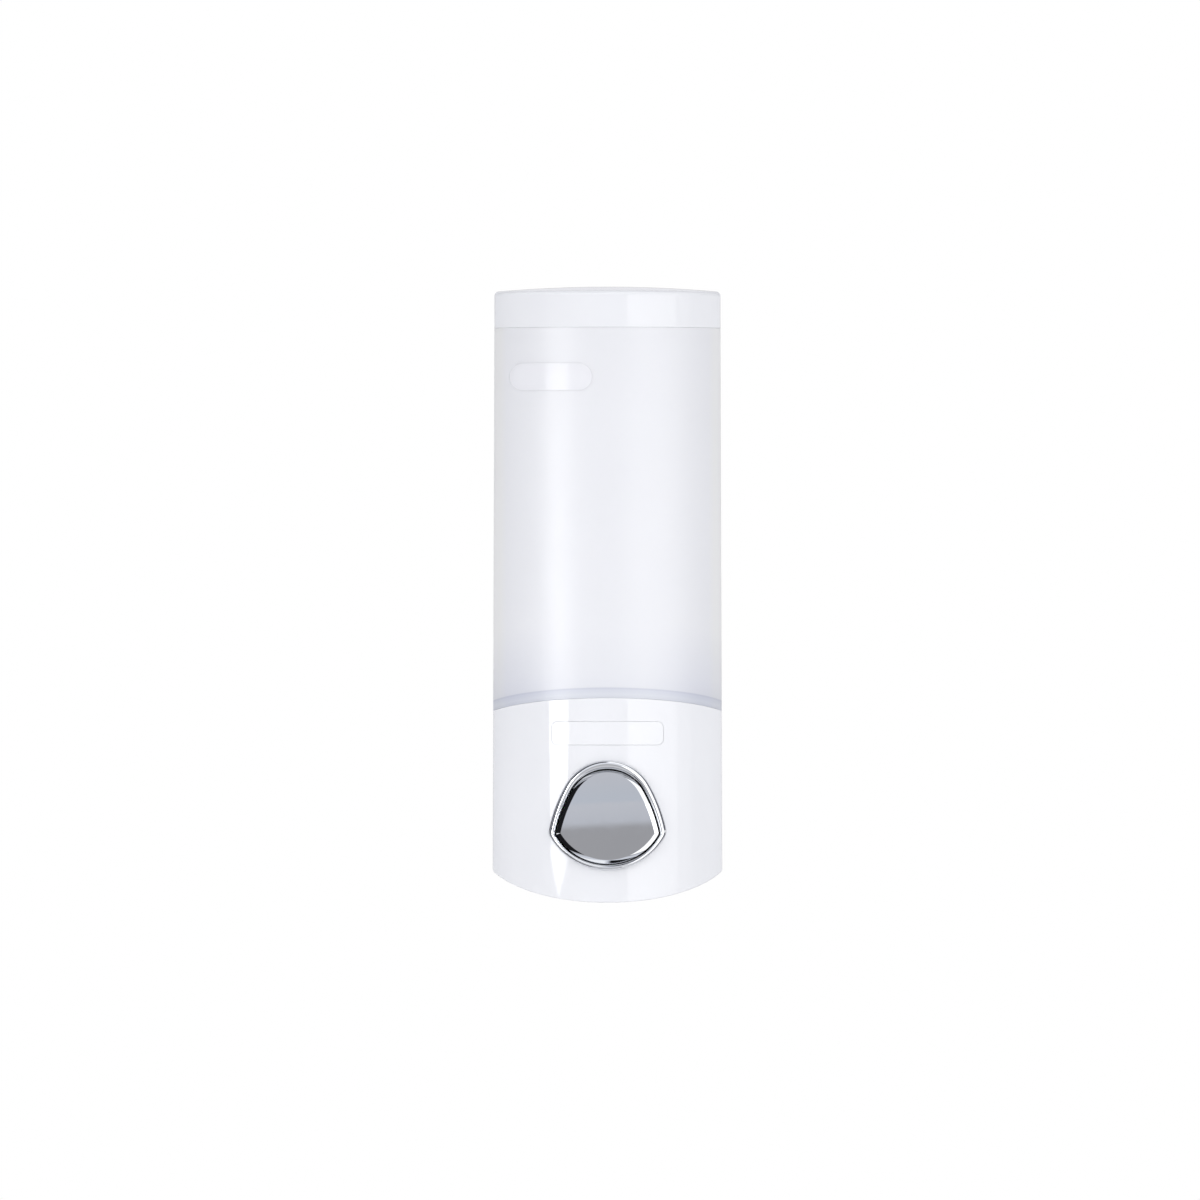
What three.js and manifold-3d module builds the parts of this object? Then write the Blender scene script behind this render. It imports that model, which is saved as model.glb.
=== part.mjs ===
// Wall mounted soap dispenser: a bracket on the wall, and a dispenser that hangs on its hooks.
//
// Millimetres. +X is to the right seen from the front, +Y points at the wall, +Z is up.
// The origin is the middle of the bracket's back face, on the wall. The front is at y = -66.
// Tank and housing share one D-shaped section: a round front, straight sides, a flat back.
// Pieces that touch keep a gap of CLEARANCE between them.

import * as THREE from 'three';
import Module from 'manifold-3d';
import { mergeVertices } from 'three/addons/utils/BufferGeometryUtils.js';
import { ParametricGeometry } from 'three/addons/geometries/ParametricGeometry.js';

const wasm = await Module();
wasm.setup();

// ---------------------------------------------------------------- driving dimensions

const CLEARANCE = 0.3;
const FACET_ANGLE = Math.PI / 30;
const ROUND_SIDES = 24;
const HOLE_SIDES = 12;

// Reaches past the whole object, and a height below it, for shapes that are cut to size
const FAR = 300;
const UNDER_Z = -115;

// The section seen from above
const FRONT_RADIUS = 41;
const FRONT_CENTRE_Y = -25;
const FRONT_Y = FRONT_CENTRE_Y - FRONT_RADIUS;
const HALF_WIDTH = 37.6;
const SIDE_FILLET = 5;
const SIDE_DRAFT = 8.5e-5;

// Heights of the seams and edges; the slanted ones are given at the front and fall or rise to the back
const TOP_Z = 102.4;
const LID_RIM_Z = 100.4;
const LID_SEAM_Z = 88.7;
const SEAM_Z = -34.4;
const SEAM_SLOPE = -0.179;
const BOTTOM_Z = -102.4;
const BOTTOM_SLOPE = 0.41;

const LID = { wall: 2, roofZ: 98, plugGap: 2.55, plugWall: 1.6, plugZ: 83.7, backY: -0.4 };

const TANK = {
  backY: -9.4,
  topZ: LID_SEAM_Z - CLEARANCE,
  wall: 2.2,
  floor: 3.2,
  skirtGap: 2.8,
  skirtWall: 1.8,
  skirtDepth: 5,
  spigotRadius: 6,
  spigotBore: 3.5,
  spigotZ: -56,
  spigotTopZ: -40,
};

const BADGE = { x: -18.8, z: 72, halfWidth: 13.75, halfHeight: 4.5, proud: 0.2, sunk: 0.3 };
const LABEL = { z: -46.15, halfWidth: 18.55, halfHeight: 3.85, corner: 2, thickness: 0.6 };

const HOUSING = {
  wall: 2.4,
  floor: 2,
  nozzleHole: 8.6,
  nozzleHoleTopZ: -78,
  bossRadius: 3.6,
  bossFrontY: -59,
  openingBackY: -50,
};

const FRAME = {
  frontY: -9.1,
  backY: -0.4,
  rim: 2.2,
  plateFrontY: -6,
  plateBackY: -3.6,
  topZ: TANK.topZ,
};

const PLATE = { halfWidth: 26, lowZ: -62, highZ: 78, corner: 6, thickness: 3 };
const PAD = { halfWidth: 22, halfHeight: 16, corner: 3, thickness: 0.9, recessGap: 0.5 };
const PAD_HEIGHTS = [31, -30.5];
const HOOK = { x: 16, halfWidth: 4, arm: 4, tipY: -8.4, lipY: -6.6, lip: 6, drop: 9, bases: [46, -44] };
const WALL_SCREW = { hole: 2.4, countersink: 4.5, sinkDepth: 1.9, holeZ: 66, slotZ: -55, slotHalf: 4 };

// Screws that hold the tank, the housing and the pump; all run along Y with the head at the back
const SCREW = {
  shank: 1.45,
  point: 1.2,
  head: 2.9,
  headHeight: 2.1,
  hole: 1.8,
  tipRoom: 0.6,
  driveWidth: 0.9,
  driveDepth: 0.9,
};
const FRAME_SCREWS = { tank: { x: 31, z: 72 }, housing: { x: 31.5, z: -60 } };
const FRAME_SCREW_TIP_Y = -14;
const PUMP_SCREW = { x: 24, z: -66, tipY: -43 };
const BOSS = { outside: 4, inside: 4.8, depthY: -17 };

// The push button's outline is drawn from four kinds of arc, all convex, so an offset adds to each radius
const BUTTON_APEX = { x: 0, z: -71.6, radius: 13.3 };
const BUTTON_CORNER = { x: 15.7, z: -79.2, radius: 1.2 };
const BUTTON_FOOT = { x: 0, z: -70, radius: 19.4 };
const BUTTON_SIDE_RADIUS = 49;
const BUTTON = {
  faceY: -66.3,
  backY: -56.3,
  bevel: 1.2,
  faceLift: 0.6,
  wall: 1.6,
  flangeOffset: 1.2,
  flangeFrontY: -56,
  flangeBackY: -54,
  plugWall: 2,
  hubRadius: 5.5,
  socketRadius: 3.8,
  socketY: -63,
};
const BEZEL = {
  inner: 0.5,
  outer: 2.6,
  outerLift: 0.6,
  sleeve: 1.3,
  height: 1.8,
  backY: -56.5,
  opening: 1.6,
};

// The pump lies along Y; the soap falls through it along the vertical line at OUTLET_Y
const PUMP_Z = -71.8;
const OUTLET_Y = -25.5;
const PUMP = {
  bore: 7,
  outer: 8.6,
  mouthY: -43.9,
  boreEndY: -21,
  backY: -19,
  discRadius: 13.2,
  flangeFrontY: -33,
  flangeBackY: -30.6,
  earHalfWidth: 28.5,
  earHalfHeight: 4.5,
};
const INLET = {
  cupOuter: 10,
  cupInner: 7.8,
  cupTopZ: -47,
  cupFloorZ: -57,
  webTopZ: -58.4,
  webZ: -60,
  tube: 7,
  chamber: 5,
  chamberZ: -63.8,
  port: 2.5,
  stemHole: 1.3,
  flowHole: 1.1,
  flowHoleReach: 3.1,
};
const OUTLET = { tube: 6, endZ: -88.5, chamber: 3.2, seatZ: -82, port: 2, ball: 2.5, ballZ: -83.8 };
const COLLAR = { frontY: -46.2, backY: -44.2, skirtY: -38, inner: 8.9, outer: 9.8, hole: 3.9 };
const PISTON = {
  head: 6.7,
  frontY: -43.6,
  backY: -37.6,
  grooveY: -40.6,
  grooveHalf: 1,
  groove: 5,
  stem: 3.5,
  tipY: -62.5,
};
const SPRING = { radius: 11.4, wire: 0.6, frontY: -53.7, backY: -33.3, turns: 5, stepsPerTurn: 14 };
const VALVE_SPRING = { radius: 2.1, wire: 0.3, lowZ: -90.7, highZ: -86.6, turns: 4, stepsPerTurn: 10 };
const TANK_SEAL = { lowZ: -56.5, highZ: -48 };

// Radii and thicknesses of the umbrella valve's disc and of the bulb on its stem
const UMBRELLA = { rim: 4.3, rimThickness: 0.35, middle: 2.4, thickness: 0.9, stem: 0.95 };
const UMBRELLA_BULB = { radius: 1.8, topRadius: 1.5, shoulder: 0.8, height: 1.1 };

const NOZZLE = {
  inner: 6.3,
  outer: 7.5,
  topZ: -85.4,
  coneTopZ: -90.4,
  ledgeZ: -91,
  neck: 4.4,
  neckZ: -92.4,
  tip: 4,
  tipEdgeZ: -94.2,
  tipFace: 3.4,
  tipZ: -95,
  bore: 1.7,
};

// ---------------------------------------------------------------- materials

function finish(color, roughness, metalness = 0) {
  return new THREE.MeshStandardMaterial({ color, roughness, metalness });
}

const whitePlastic = finish(0xf1f2f4, 0.22);
const frostedPlastic = finish(0xe6e8ec, 0.45);
const clearPlastic = finish(0xeef1f4, 0.12);
const chrome = finish(0xc9ccd1, 0.06, 1);
const mouldedPlastic = finish(0xdcdedf, 0.4);
const steel = finish(0xb4b7bb, 0.3, 1);
const rubber = finish(0x3c3f44, 0.75);
const foam = finish(0x8d9196, 0.95);

// ---------------------------------------------------------------- solids and outlines

// A closed geometry as a solid: vertices merged, and triangles with no area left out
function solid(geometry) {
  const bare = geometry.clone();
  bare.deleteAttribute('normal');
  bare.deleteAttribute('uv');
  const merged = mergeVertices(bare);
  const corners = merged.index.array;
  const triangles = [];
  for (let i = 0; i < corners.length; i += 3) {
    const [a, b, c] = [corners[i], corners[i + 1], corners[i + 2]];
    if (a !== b && b !== c && c !== a) triangles.push(a, b, c);
  }
  return new wasm.Manifold(new wasm.Mesh({
    numProp: 3,
    vertProperties: merged.attributes.position.array,
    triVerts: new Uint32Array(triangles),
  }));
}

function geometryOf(body) {
  const { vertProperties, triVerts } = body.getMesh();
  const geometry = new THREE.BufferGeometry();
  geometry.setAttribute('position', new THREE.BufferAttribute(vertProperties, 3));
  geometry.setIndex(new THREE.BufferAttribute(triVerts, 1));
  geometry.computeVertexNormals();
  return geometry;
}

function piece(name, body, material) {
  const mesh = new THREE.Mesh(geometryOf(body), material);
  mesh.name = name;
  return mesh;
}

function joined(bodies) {
  return bodies.reduce((whole, body) => whole.add(body));
}

function arc(x, y, radius, from, to) {
  const steps = Math.max(2, Math.ceil(Math.abs(to - from) / FACET_ANGLE));
  return Array.from({ length: steps + 1 }, (_, i) => {
    const angle = from + ((to - from) * i) / steps;
    return new THREE.Vector2(x + radius * Math.cos(angle), y + radius * Math.sin(angle));
  });
}

function rectangle(lowX, highX, lowY, highY) {
  const corners = [[lowX, lowY], [highX, lowY], [highX, highY], [lowX, highY]];
  return corners.map(([x, y]) => new THREE.Vector2(x, y));
}

// A rectangle about (x, y) with round corners
function roundedRectangle(x, y, halfWidth, halfHeight, corner) {
  const [dx, dy] = [halfWidth - corner, halfHeight - corner];
  const corners = [[dx, dy], [-dx, dy], [-dx, -dy], [dx, -dy]];
  return corners.flatMap(([cx, cy], i) => {
    const start = (i * Math.PI) / 2;
    return [0, 1, 2, 3, 4].map((step) => {
      const angle = start + (step * Math.PI) / 8;
      return new THREE.Vector2(x + cx + corner * Math.cos(angle), y + cy + corner * Math.sin(angle));
    });
  });
}

function draft(z) {
  return 1 + SIDE_DRAFT * Math.max(0, LID_SEAM_Z - z);
}

// The D-shaped section, inset millimetres inside the outer surface on every side
function dOutline(inset, backY) {
  const half = HALF_WIDTH - inset;
  const fillet = SIDE_FILLET - inset;
  const filletX = HALF_WIDTH - SIDE_FILLET;
  const reach = FRONT_RADIUS - SIDE_FILLET;
  const filletY = FRONT_CENTRE_Y - Math.sqrt(reach ** 2 - filletX ** 2);
  const turn = Math.acos(filletX / reach);
  const rear = backY - inset;
  return [
    new THREE.Vector2(-half, rear),
    ...arc(-filletX, filletY, fillet, Math.PI, Math.PI + turn),
    ...arc(0, FRONT_CENTRE_Y, FRONT_RADIUS - inset, Math.PI + turn, 2 * Math.PI - turn).slice(1, -1),
    ...arc(filletX, filletY, fillet, -turn, 0),
    new THREE.Vector2(half, rear),
  ];
}

// An outline in plan, extruded upwards and spread sideways by the mould's draft
function column(outline, lowZ, highZ) {
  const geometry = new THREE.ExtrudeGeometry(new THREE.Shape(outline), {
    depth: highZ - lowZ,
    bevelEnabled: false,
  });
  geometry.translate(0, 0, lowZ);
  const position = geometry.attributes.position;
  for (let i = 0; i < position.count; i += 1) {
    position.setX(i, position.getX(i) * draft(position.getZ(i)));
  }
  return solid(geometry);
}

// An outline in X and Z, extruded along Y
function beam(outline, frontY, backY) {
  const geometry = new THREE.ExtrudeGeometry(new THREE.Shape(outline), {
    depth: backY - frontY,
    bevelEnabled: false,
  });
  geometry.rotateX(Math.PI / 2);
  geometry.translate(0, backY, 0);
  return solid(geometry);
}

function block(lowX, highX, lowY, highY, lowZ, highZ) {
  const geometry = new THREE.BoxGeometry(highX - lowX, highY - lowY, highZ - lowZ);
  geometry.translate((lowX + highX) / 2, (lowY + highY) / 2, (lowZ + highZ) / 2);
  return solid(geometry);
}

// Everything above (side = 1) or below (side = -1) a plane through the front at height z
function slanted(side, z, slope) {
  const geometry = new THREE.BoxGeometry(FAR, FAR, FAR);
  geometry.translate(0, 0, (side * FAR) / 2);
  geometry.rotateX(Math.atan(slope));
  geometry.translate(0, FRONT_Y, z);
  return solid(geometry);
}

// A round solid about its own Y axis from [radius, y] corners, listed with the outside going up
function turned(profile, sides = ROUND_SIDES) {
  const points = profile.map(([radius, y]) => new THREE.Vector2(radius, y));
  return new THREE.LatheGeometry(points, sides);
}

function alongY(x, z, profile, sides) {
  return solid(turned(profile, sides).translate(x, 0, z));
}

function upright(y, profile, sides) {
  return solid(turned(profile, sides).rotateX(Math.PI / 2).translate(0, y, 0));
}

function rod(radius, low, high) {
  return [[0, low], [radius, low], [radius, high], [0, high]];
}

// A wall or plate between two insets of the D section
function shell(outside, inside, lowZ, highZ) {
  return column(dOutline(outside, TANK.backY), lowZ, highZ)
    .subtract(column(dOutline(inside, TANK.backY), lowZ - 1, highZ + 1));
}

// ---------------------------------------------------------------- the button's outline

// Where two circles meet, on the right-hand side of the way from the first centre to the second
function circlesMeet(first, firstRadius, second, secondRadius) {
  const [dx, dz] = [second.x - first.x, second.z - first.z];
  const distance = Math.hypot(dx, dz);
  const along = (firstRadius ** 2 - secondRadius ** 2 + distance ** 2) / (2 * distance);
  const across = Math.sqrt(firstRadius ** 2 - along ** 2);
  return {
    x: first.x + (along * dx + across * dz) / distance,
    z: first.z + (along * dz - across * dx) / distance,
  };
}

// Centre of the right-hand side's arc, which touches the apex and the corner from outside
const SIDE_CENTRE = circlesMeet(
  BUTTON_APEX,
  BUTTON_SIDE_RADIUS - BUTTON_APEX.radius,
  BUTTON_CORNER,
  BUTTON_SIDE_RADIUS - BUTTON_CORNER.radius,
);

function bearing(from, to) {
  return Math.atan2(to.z - from.z, to.x - from.x);
}

// The outline moved out by an offset. Moved in past the corner's radius, it keeps a sharp corner.
function buttonOutline(offset) {
  const side = BUTTON_SIDE_RADIUS + offset;
  const foot = BUTTON_FOOT.radius + offset;
  const round = Math.max(0, BUTTON_CORNER.radius + offset);
  const corner = round > 0 ? BUTTON_CORNER : circlesMeet(SIDE_CENTRE, side, BUTTON_FOOT, foot);
  const toApex = bearing(SIDE_CENTRE, BUTTON_APEX);
  const toCorner = bearing(SIDE_CENTRE, corner);
  const footToCorner = bearing(BUTTON_FOOT, corner);
  const half = Math.PI;
  const arcs = [
    [BUTTON_FOOT, foot, -half - footToCorner, footToCorner, 16],
    [corner, round, footToCorner, toCorner, 5],
    [SIDE_CENTRE, side, toCorner, toApex, 7],
    [BUTTON_APEX, BUTTON_APEX.radius + offset, toApex, half - toApex, 12],
    [{ ...SIDE_CENTRE, x: -SIDE_CENTRE.x }, side, half - toApex, half - toCorner, 7],
    [{ ...corner, x: -corner.x }, round, half - toCorner, half - footToCorner, 5],
  ];
  return arcs.flatMap(([centre, radius, from, to, steps]) => Array.from({ length: steps }, (_, i) => {
    const angle = from + ((to - from) * i) / steps;
    return new THREE.Vector2(centre.x + radius * Math.cos(angle), centre.z + radius * Math.sin(angle));
  }));
}

// The housing's front surface
function surfaceY(x, z) {
  return FRONT_CENTRE_Y - Math.sqrt(FRONT_RADIUS ** 2 - (x / draft(z)) ** 2);
}

// A solid swept round the button's outline. The rows go round its section with the outside going to the
// front; each has an offset from the outline, or none for a point on the button's middle line, and a
// place y, measured from the housing's front surface where onSurface is set. A lift moves a row up.
function rimSolid(rows) {
  const outlines = rows.map((row) => buttonOutline(row.offset ?? 0));
  const count = outlines[0].length;
  const geometry = new ParametricGeometry((u, v, target) => {
    const index = Math.round(v * (rows.length - 1));
    const { offset, y, onSurface = false, lift = 0 } = rows[index];
    if (offset === undefined) {
      target.set(0, y, BUTTON_FOOT.z);
      return;
    }
    const point = outlines[index][Math.round(u * count) % count];
    const z = point.y + lift;
    target.set(point.x, y + (onSurface ? surfaceY(point.x, z) : 0), z);
  }, count, rows.length - 1);
  return solid(geometry);
}

// ---------------------------------------------------------------- springs and screws

class CoilPath extends THREE.Curve {
  constructor(radius, low, high, turns) {
    super();
    Object.assign(this, { radius, low, high, turns });
  }

  getPoint(t, target = new THREE.Vector3()) {
    const angle = 2 * Math.PI * this.turns * t;
    const y = this.low + (this.high - this.low) * t;
    return target.set(this.radius * Math.cos(angle), y, this.radius * Math.sin(angle));
  }
}

// A coil spring about its own Y axis
function coil({ radius, wire, turns, stepsPerTurn }, low, high) {
  const section = Array.from({ length: 6 }, (_, i) => {
    const angle = (i * Math.PI) / 3;
    return new THREE.Vector2(wire * Math.cos(angle), wire * Math.sin(angle));
  });
  return solid(new THREE.ExtrudeGeometry(new THREE.Shape(section), {
    extrudePath: new CoilPath(radius, low + wire, high - wire, turns),
    steps: turns * stepsPerTurn,
    bevelEnabled: false,
  }));
}

// A cross-head screw about its own Y axis, its head's seat at y = 0 and its tip at y = -length
function screw(name, length) {
  const body = solid(turned([
    [0, -length],
    [SCREW.shank * 0.5, -length],
    [SCREW.shank, SCREW.point - length],
    [SCREW.shank, 0],
    [SCREW.head, 0],
    [SCREW.head, SCREW.headHeight * 0.5],
    [SCREW.head * 0.75, SCREW.headHeight],
    [0, SCREW.headHeight],
  ], 18));
  const floor = SCREW.headHeight - SCREW.driveDepth;
  const arm = SCREW.head * 0.6;
  const half = SCREW.driveWidth / 2;
  const drive = block(-arm, arm, floor, FAR, -half, half).add(block(-half, half, floor, FAR, -arm, arm));
  return piece(name, body.subtract(drive), steel);
}

// ---------------------------------------------------------------- wall bracket

function wallPlate() {
  const middleZ = (PLATE.lowZ + PLATE.highZ) / 2;
  const halfHeight = (PLATE.highZ - PLATE.lowZ) / 2;
  const face = -PLATE.thickness;
  let body = beam(roundedRectangle(0, middleZ, PLATE.halfWidth, halfHeight, PLATE.corner), face, 0);
  for (const base of HOOK.bases) {
    for (const x of [-HOOK.x, HOOK.x]) {
      const [lowX, highX] = [x - HOOK.halfWidth, x + HOOK.halfWidth];
      const top = base + HOOK.arm;
      body = body.add(block(lowX, highX, HOOK.tipY, face / 2, base, top));
      body = body.add(block(lowX, highX, HOOK.tipY, HOOK.lipY, base, top + HOOK.lip));
    }
  }
  for (const z of PAD_HEIGHTS) {
    const grow = PAD.recessGap;
    const recess = roundedRectangle(0, z, PAD.halfWidth + grow, PAD.halfHeight + grow, PAD.corner + grow);
    body = body.subtract(beam(recess, -PAD.thickness - CLEARANCE, 1));
  }
  const countersink = [
    [0, face - 1],
    [WALL_SCREW.countersink, face - 1],
    [WALL_SCREW.countersink, face],
    [WALL_SCREW.hole, face + WALL_SCREW.sinkDepth],
    [WALL_SCREW.hole, 1],
    [0, 1],
  ];
  body = body.subtract(alongY(0, WALL_SCREW.holeZ, countersink));
  const slotWidth = WALL_SCREW.slotHalf + WALL_SCREW.hole;
  const slot = roundedRectangle(0, WALL_SCREW.slotZ, slotWidth, WALL_SCREW.hole, WALL_SCREW.hole - 0.01);
  return piece('wall_plate', body.subtract(beam(slot, face - 1, 1)), mouldedPlastic);
}

function foamPad(name, z) {
  const outline = roundedRectangle(0, z, PAD.halfWidth, PAD.halfHeight, PAD.corner);
  return piece(name, beam(outline, -PAD.thickness, 0), foam);
}

// ---------------------------------------------------------------- tank, lid and frame

// Bosses on the back wall of the tank or the housing, and the blind screw holes in them
function rearBosses({ x, z }) {
  const outside = FRAME.plateFrontY - CLEARANCE;
  return joined([-x, x].flatMap((side) => [
    alongY(side, z, rod(BOSS.outside, TANK.backY - 1, outside)),
    alongY(side, z, rod(BOSS.inside, BOSS.depthY, TANK.backY - 0.5)),
  ]));
}

function rearHoles({ x, z }) {
  const bottom = FRAME_SCREW_TIP_Y - SCREW.tipRoom;
  return joined([-x, x].map((side) => alongY(side, z, rod(SCREW.hole, bottom, 0), HOLE_SIDES)));
}

function badgeOutline(grow) {
  const [halfWidth, halfHeight] = [BADGE.halfWidth + grow, BADGE.halfHeight + grow];
  return roundedRectangle(BADGE.x, BADGE.z, halfWidth, halfHeight, halfHeight - 0.01);
}

function labelOutline(grow) {
  const [halfWidth, halfHeight] = [LABEL.halfWidth + grow, LABEL.halfHeight + grow];
  return roundedRectangle(0, LABEL.z, halfWidth, halfHeight, LABEL.corner + grow);
}

// A plate with the given outline, following the round front between two insets
function frontPlate(outline, outside, inside) {
  const skin = shell(outside, inside, UNDER_Z, TANK.topZ);
  return beam(outline, FRONT_Y - 1 + outside, FRONT_CENTRE_Y).intersect(skin);
}

function tank() {
  const section = (inset, highZ) => column(dOutline(inset, TANK.backY), UNDER_Z, highZ);
  const outside = section(0, TANK.topZ).intersect(slanted(1, SEAM_Z, SEAM_SLOPE));
  const inside = section(TANK.wall, TANK.topZ + 1).intersect(slanted(1, SEAM_Z + TANK.floor, SEAM_SLOPE));
  const skirt = shell(TANK.skirtGap, TANK.skirtGap + TANK.skirtWall, UNDER_Z, 0)
    .intersect(slanted(1, SEAM_Z - TANK.skirtDepth, SEAM_SLOPE))
    .intersect(slanted(-1, SEAM_Z + 1, SEAM_SLOPE));
  const body = joined([
    outside.subtract(inside),
    skirt,
    upright(OUTLET_Y, rod(TANK.spigotRadius, TANK.spigotZ, TANK.spigotTopZ)),
    rearBosses(FRAME_SCREWS.tank),
  ]);
  const cuts = joined([
    upright(OUTLET_Y, rod(TANK.spigotBore, TANK.spigotZ - 1, 0)),
    rearHoles(FRAME_SCREWS.tank),
    frontPlate(badgeOutline(CLEARANCE), -2, BADGE.sunk + CLEARANCE),
  ]);
  return piece('tank', body.subtract(cuts), frostedPlastic);
}

function tankBadge() {
  return piece('tank_badge', frontPlate(badgeOutline(0), -BADGE.proud, BADGE.sunk), clearPlastic);
}

// A shallow crown over the whole plan: TOP_Z in the middle of the round front, LID_RIM_Z at its edge
function crown() {
  const rise = TOP_Z - LID_RIM_Z;
  const rings = [60, 48, 40, 32, 24, 16, 8];
  const profile = [
    [0, 0],
    [rings[0], 0],
    ...rings.map((radius) => [radius, TOP_Z - rise * (radius / FRONT_RADIUS) ** 2]),
    [0, TOP_Z],
  ];
  return upright(FRONT_CENTRE_Y, profile, 36);
}

function lid() {
  const outside = column(dOutline(0, LID.backY), LID_SEAM_Z, FAR).intersect(crown());
  const hollow = column(dOutline(LID.wall, LID.backY), LID_SEAM_Z - 1, LID.roofZ);
  const plug = shell(LID.plugGap, LID.plugGap + LID.plugWall, LID.plugZ, LID.roofZ + 1);
  return piece('lid', outside.subtract(hollow).add(plug), whitePlastic);
}

function backFrame() {
  const inner = HALF_WIDTH - FRAME.rim;
  const roof = FRAME.topZ - FRAME.rim;
  const outline = rectangle(-HALF_WIDTH, HALF_WIDTH, FRAME.frontY, FRAME.backY);
  const body = column(outline, UNDER_Z, FRAME.topZ).intersect(slanted(1, BOTTOM_Z, BOTTOM_SLOPE));
  const aboveRim = slanted(1, BOTTOM_Z + FRAME.rim, BOTTOM_SLOPE);
  const pockets = joined([
    column(rectangle(-inner, inner, FRAME.frontY - 1, FRAME.plateFrontY), UNDER_Z, roof),
    column(rectangle(-inner, inner, FRAME.plateBackY, FRAME.backY + 1), UNDER_Z, roof),
  ]).intersect(aboveRim);
  const windows = HOOK.bases.flatMap((base) => [-HOOK.x, HOOK.x].map((x) => {
    const half = HOOK.halfWidth + 1;
    const [lowZ, highZ] = [base - HOOK.drop, base + HOOK.arm + CLEARANCE];
    return block(x - half, x + half, FRAME.plateFrontY - 1, FRAME.plateBackY + 1, lowZ, highZ);
  }));
  const holes = Object.values(FRAME_SCREWS).map(rearHoles);
  const cuts = joined([pockets, ...windows, ...holes]);
  return piece('back_frame', body.subtract(cuts), mouldedPlastic);
}

// ---------------------------------------------------------------- housing and button

function housing() {
  const section = (inset) => column(dOutline(inset, TANK.backY), UNDER_Z, 0);
  const outside = section(0)
    .intersect(slanted(1, BOTTOM_Z, BOTTOM_SLOPE))
    .intersect(slanted(-1, SEAM_Z - CLEARANCE, SEAM_SLOPE));
  const inside = section(HOUSING.wall).intersect(slanted(1, BOTTOM_Z + HOUSING.floor, BOTTOM_SLOPE));
  const bossBackY = PUMP.flangeFrontY - CLEARANCE;
  const sides = [-PUMP_SCREW.x, PUMP_SCREW.x];
  const boss = rod(HOUSING.bossRadius, HOUSING.bossFrontY, bossBackY);
  const bosses = joined(sides.map((x) => alongY(x, PUMP_SCREW.z, boss)));
  const screwHole = rod(SCREW.hole, PUMP_SCREW.tipY - 1, PUMP.flangeBackY);
  const walls = outside.subtract(inside);
  const body = joined([walls, bosses.intersect(outside), rearBosses(FRAME_SCREWS.housing)]);
  const cuts = joined([
    beam(buttonOutline(BEZEL.opening), FRONT_Y - 1, HOUSING.openingBackY),
    upright(OUTLET_Y, rod(HOUSING.nozzleHole, UNDER_Z, HOUSING.nozzleHoleTopZ)),
    ...sides.map((x) => alongY(x, PUMP_SCREW.z, screwHole, HOLE_SIDES)),
    rearHoles(FRAME_SCREWS.housing),
    frontPlate(labelOutline(CLEARANCE), -2, LABEL.thickness + CLEARANCE),
  ]);
  return piece('housing', body.subtract(cuts), whitePlastic);
}

function labelPlate() {
  return piece('label_plate', frontPlate(labelOutline(0), 0, LABEL.thickness), clearPlastic);
}

// Rounded bead on the housing's surface, and a sleeve through the wall that guides the button
function bezel() {
  const middle = (BEZEL.inner + BEZEL.outer) / 2;
  const half = (BEZEL.outer - BEZEL.inner) / 2;
  const foot = -CLEARANCE;
  const bead = [0, 1, 2, 3, 4, 5, 6].map((step) => {
    const angle = (step * Math.PI) / 6;
    return {
      offset: middle + half * Math.cos(angle),
      y: foot - (BEZEL.height - CLEARANCE) * Math.sin(angle),
      lift: (BEZEL.outerLift * (1 + Math.cos(angle))) / 2,
      onSurface: true,
    };
  });
  const body = rimSolid([
    { offset: BEZEL.inner, y: BEZEL.backY },
    { offset: BEZEL.sleeve, y: BEZEL.backY },
    { offset: BEZEL.sleeve, y: foot, onSurface: true },
    ...bead,
    { offset: BEZEL.inner, y: BEZEL.backY },
  ]);
  return piece('bezel', body, chrome);
}

function buttonCap() {
  const body = rimSolid([
    { y: BUTTON.faceY + BUTTON.wall },
    { offset: -BUTTON.wall, y: BUTTON.faceY + BUTTON.wall },
    { offset: -BUTTON.wall, y: BUTTON.backY },
    { offset: 0, y: BUTTON.backY },
    { offset: 0, y: BUTTON.faceY + BUTTON.bevel },
    { offset: -BUTTON.bevel, lift: BUTTON.faceLift, y: BUTTON.faceY },
    { y: BUTTON.faceY },
  ]);
  return piece('button_cap', body, chrome);
}

// Plate behind the cap: its flange stops the button in the sleeve, its plug fills the cap
function buttonCarrier() {
  const plugOffset = -BUTTON.wall - CLEARANCE;
  const plugY = BUTTON.faceY + BUTTON.wall + CLEARANCE;
  const plate = rimSolid([
    { y: BUTTON.flangeBackY },
    { offset: BUTTON.flangeOffset, y: BUTTON.flangeBackY },
    { offset: BUTTON.flangeOffset, y: BUTTON.flangeFrontY },
    { offset: plugOffset, y: BUTTON.flangeFrontY },
    { offset: plugOffset, y: plugY },
    { offset: plugOffset - BUTTON.plugWall, y: plugY },
    { offset: plugOffset - BUTTON.plugWall, y: BUTTON.flangeFrontY },
    { y: BUTTON.flangeFrontY },
  ]);
  const hub = alongY(0, PUMP_Z, rod(BUTTON.hubRadius, plugY, BUTTON.flangeBackY - 1));
  const socket = alongY(0, PUMP_Z, rod(BUTTON.socketRadius, BUTTON.socketY, BUTTON.flangeBackY + 1));
  return piece('button_carrier', plate.add(hub).subtract(socket), mouldedPlastic);
}

// ---------------------------------------------------------------- pump

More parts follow.
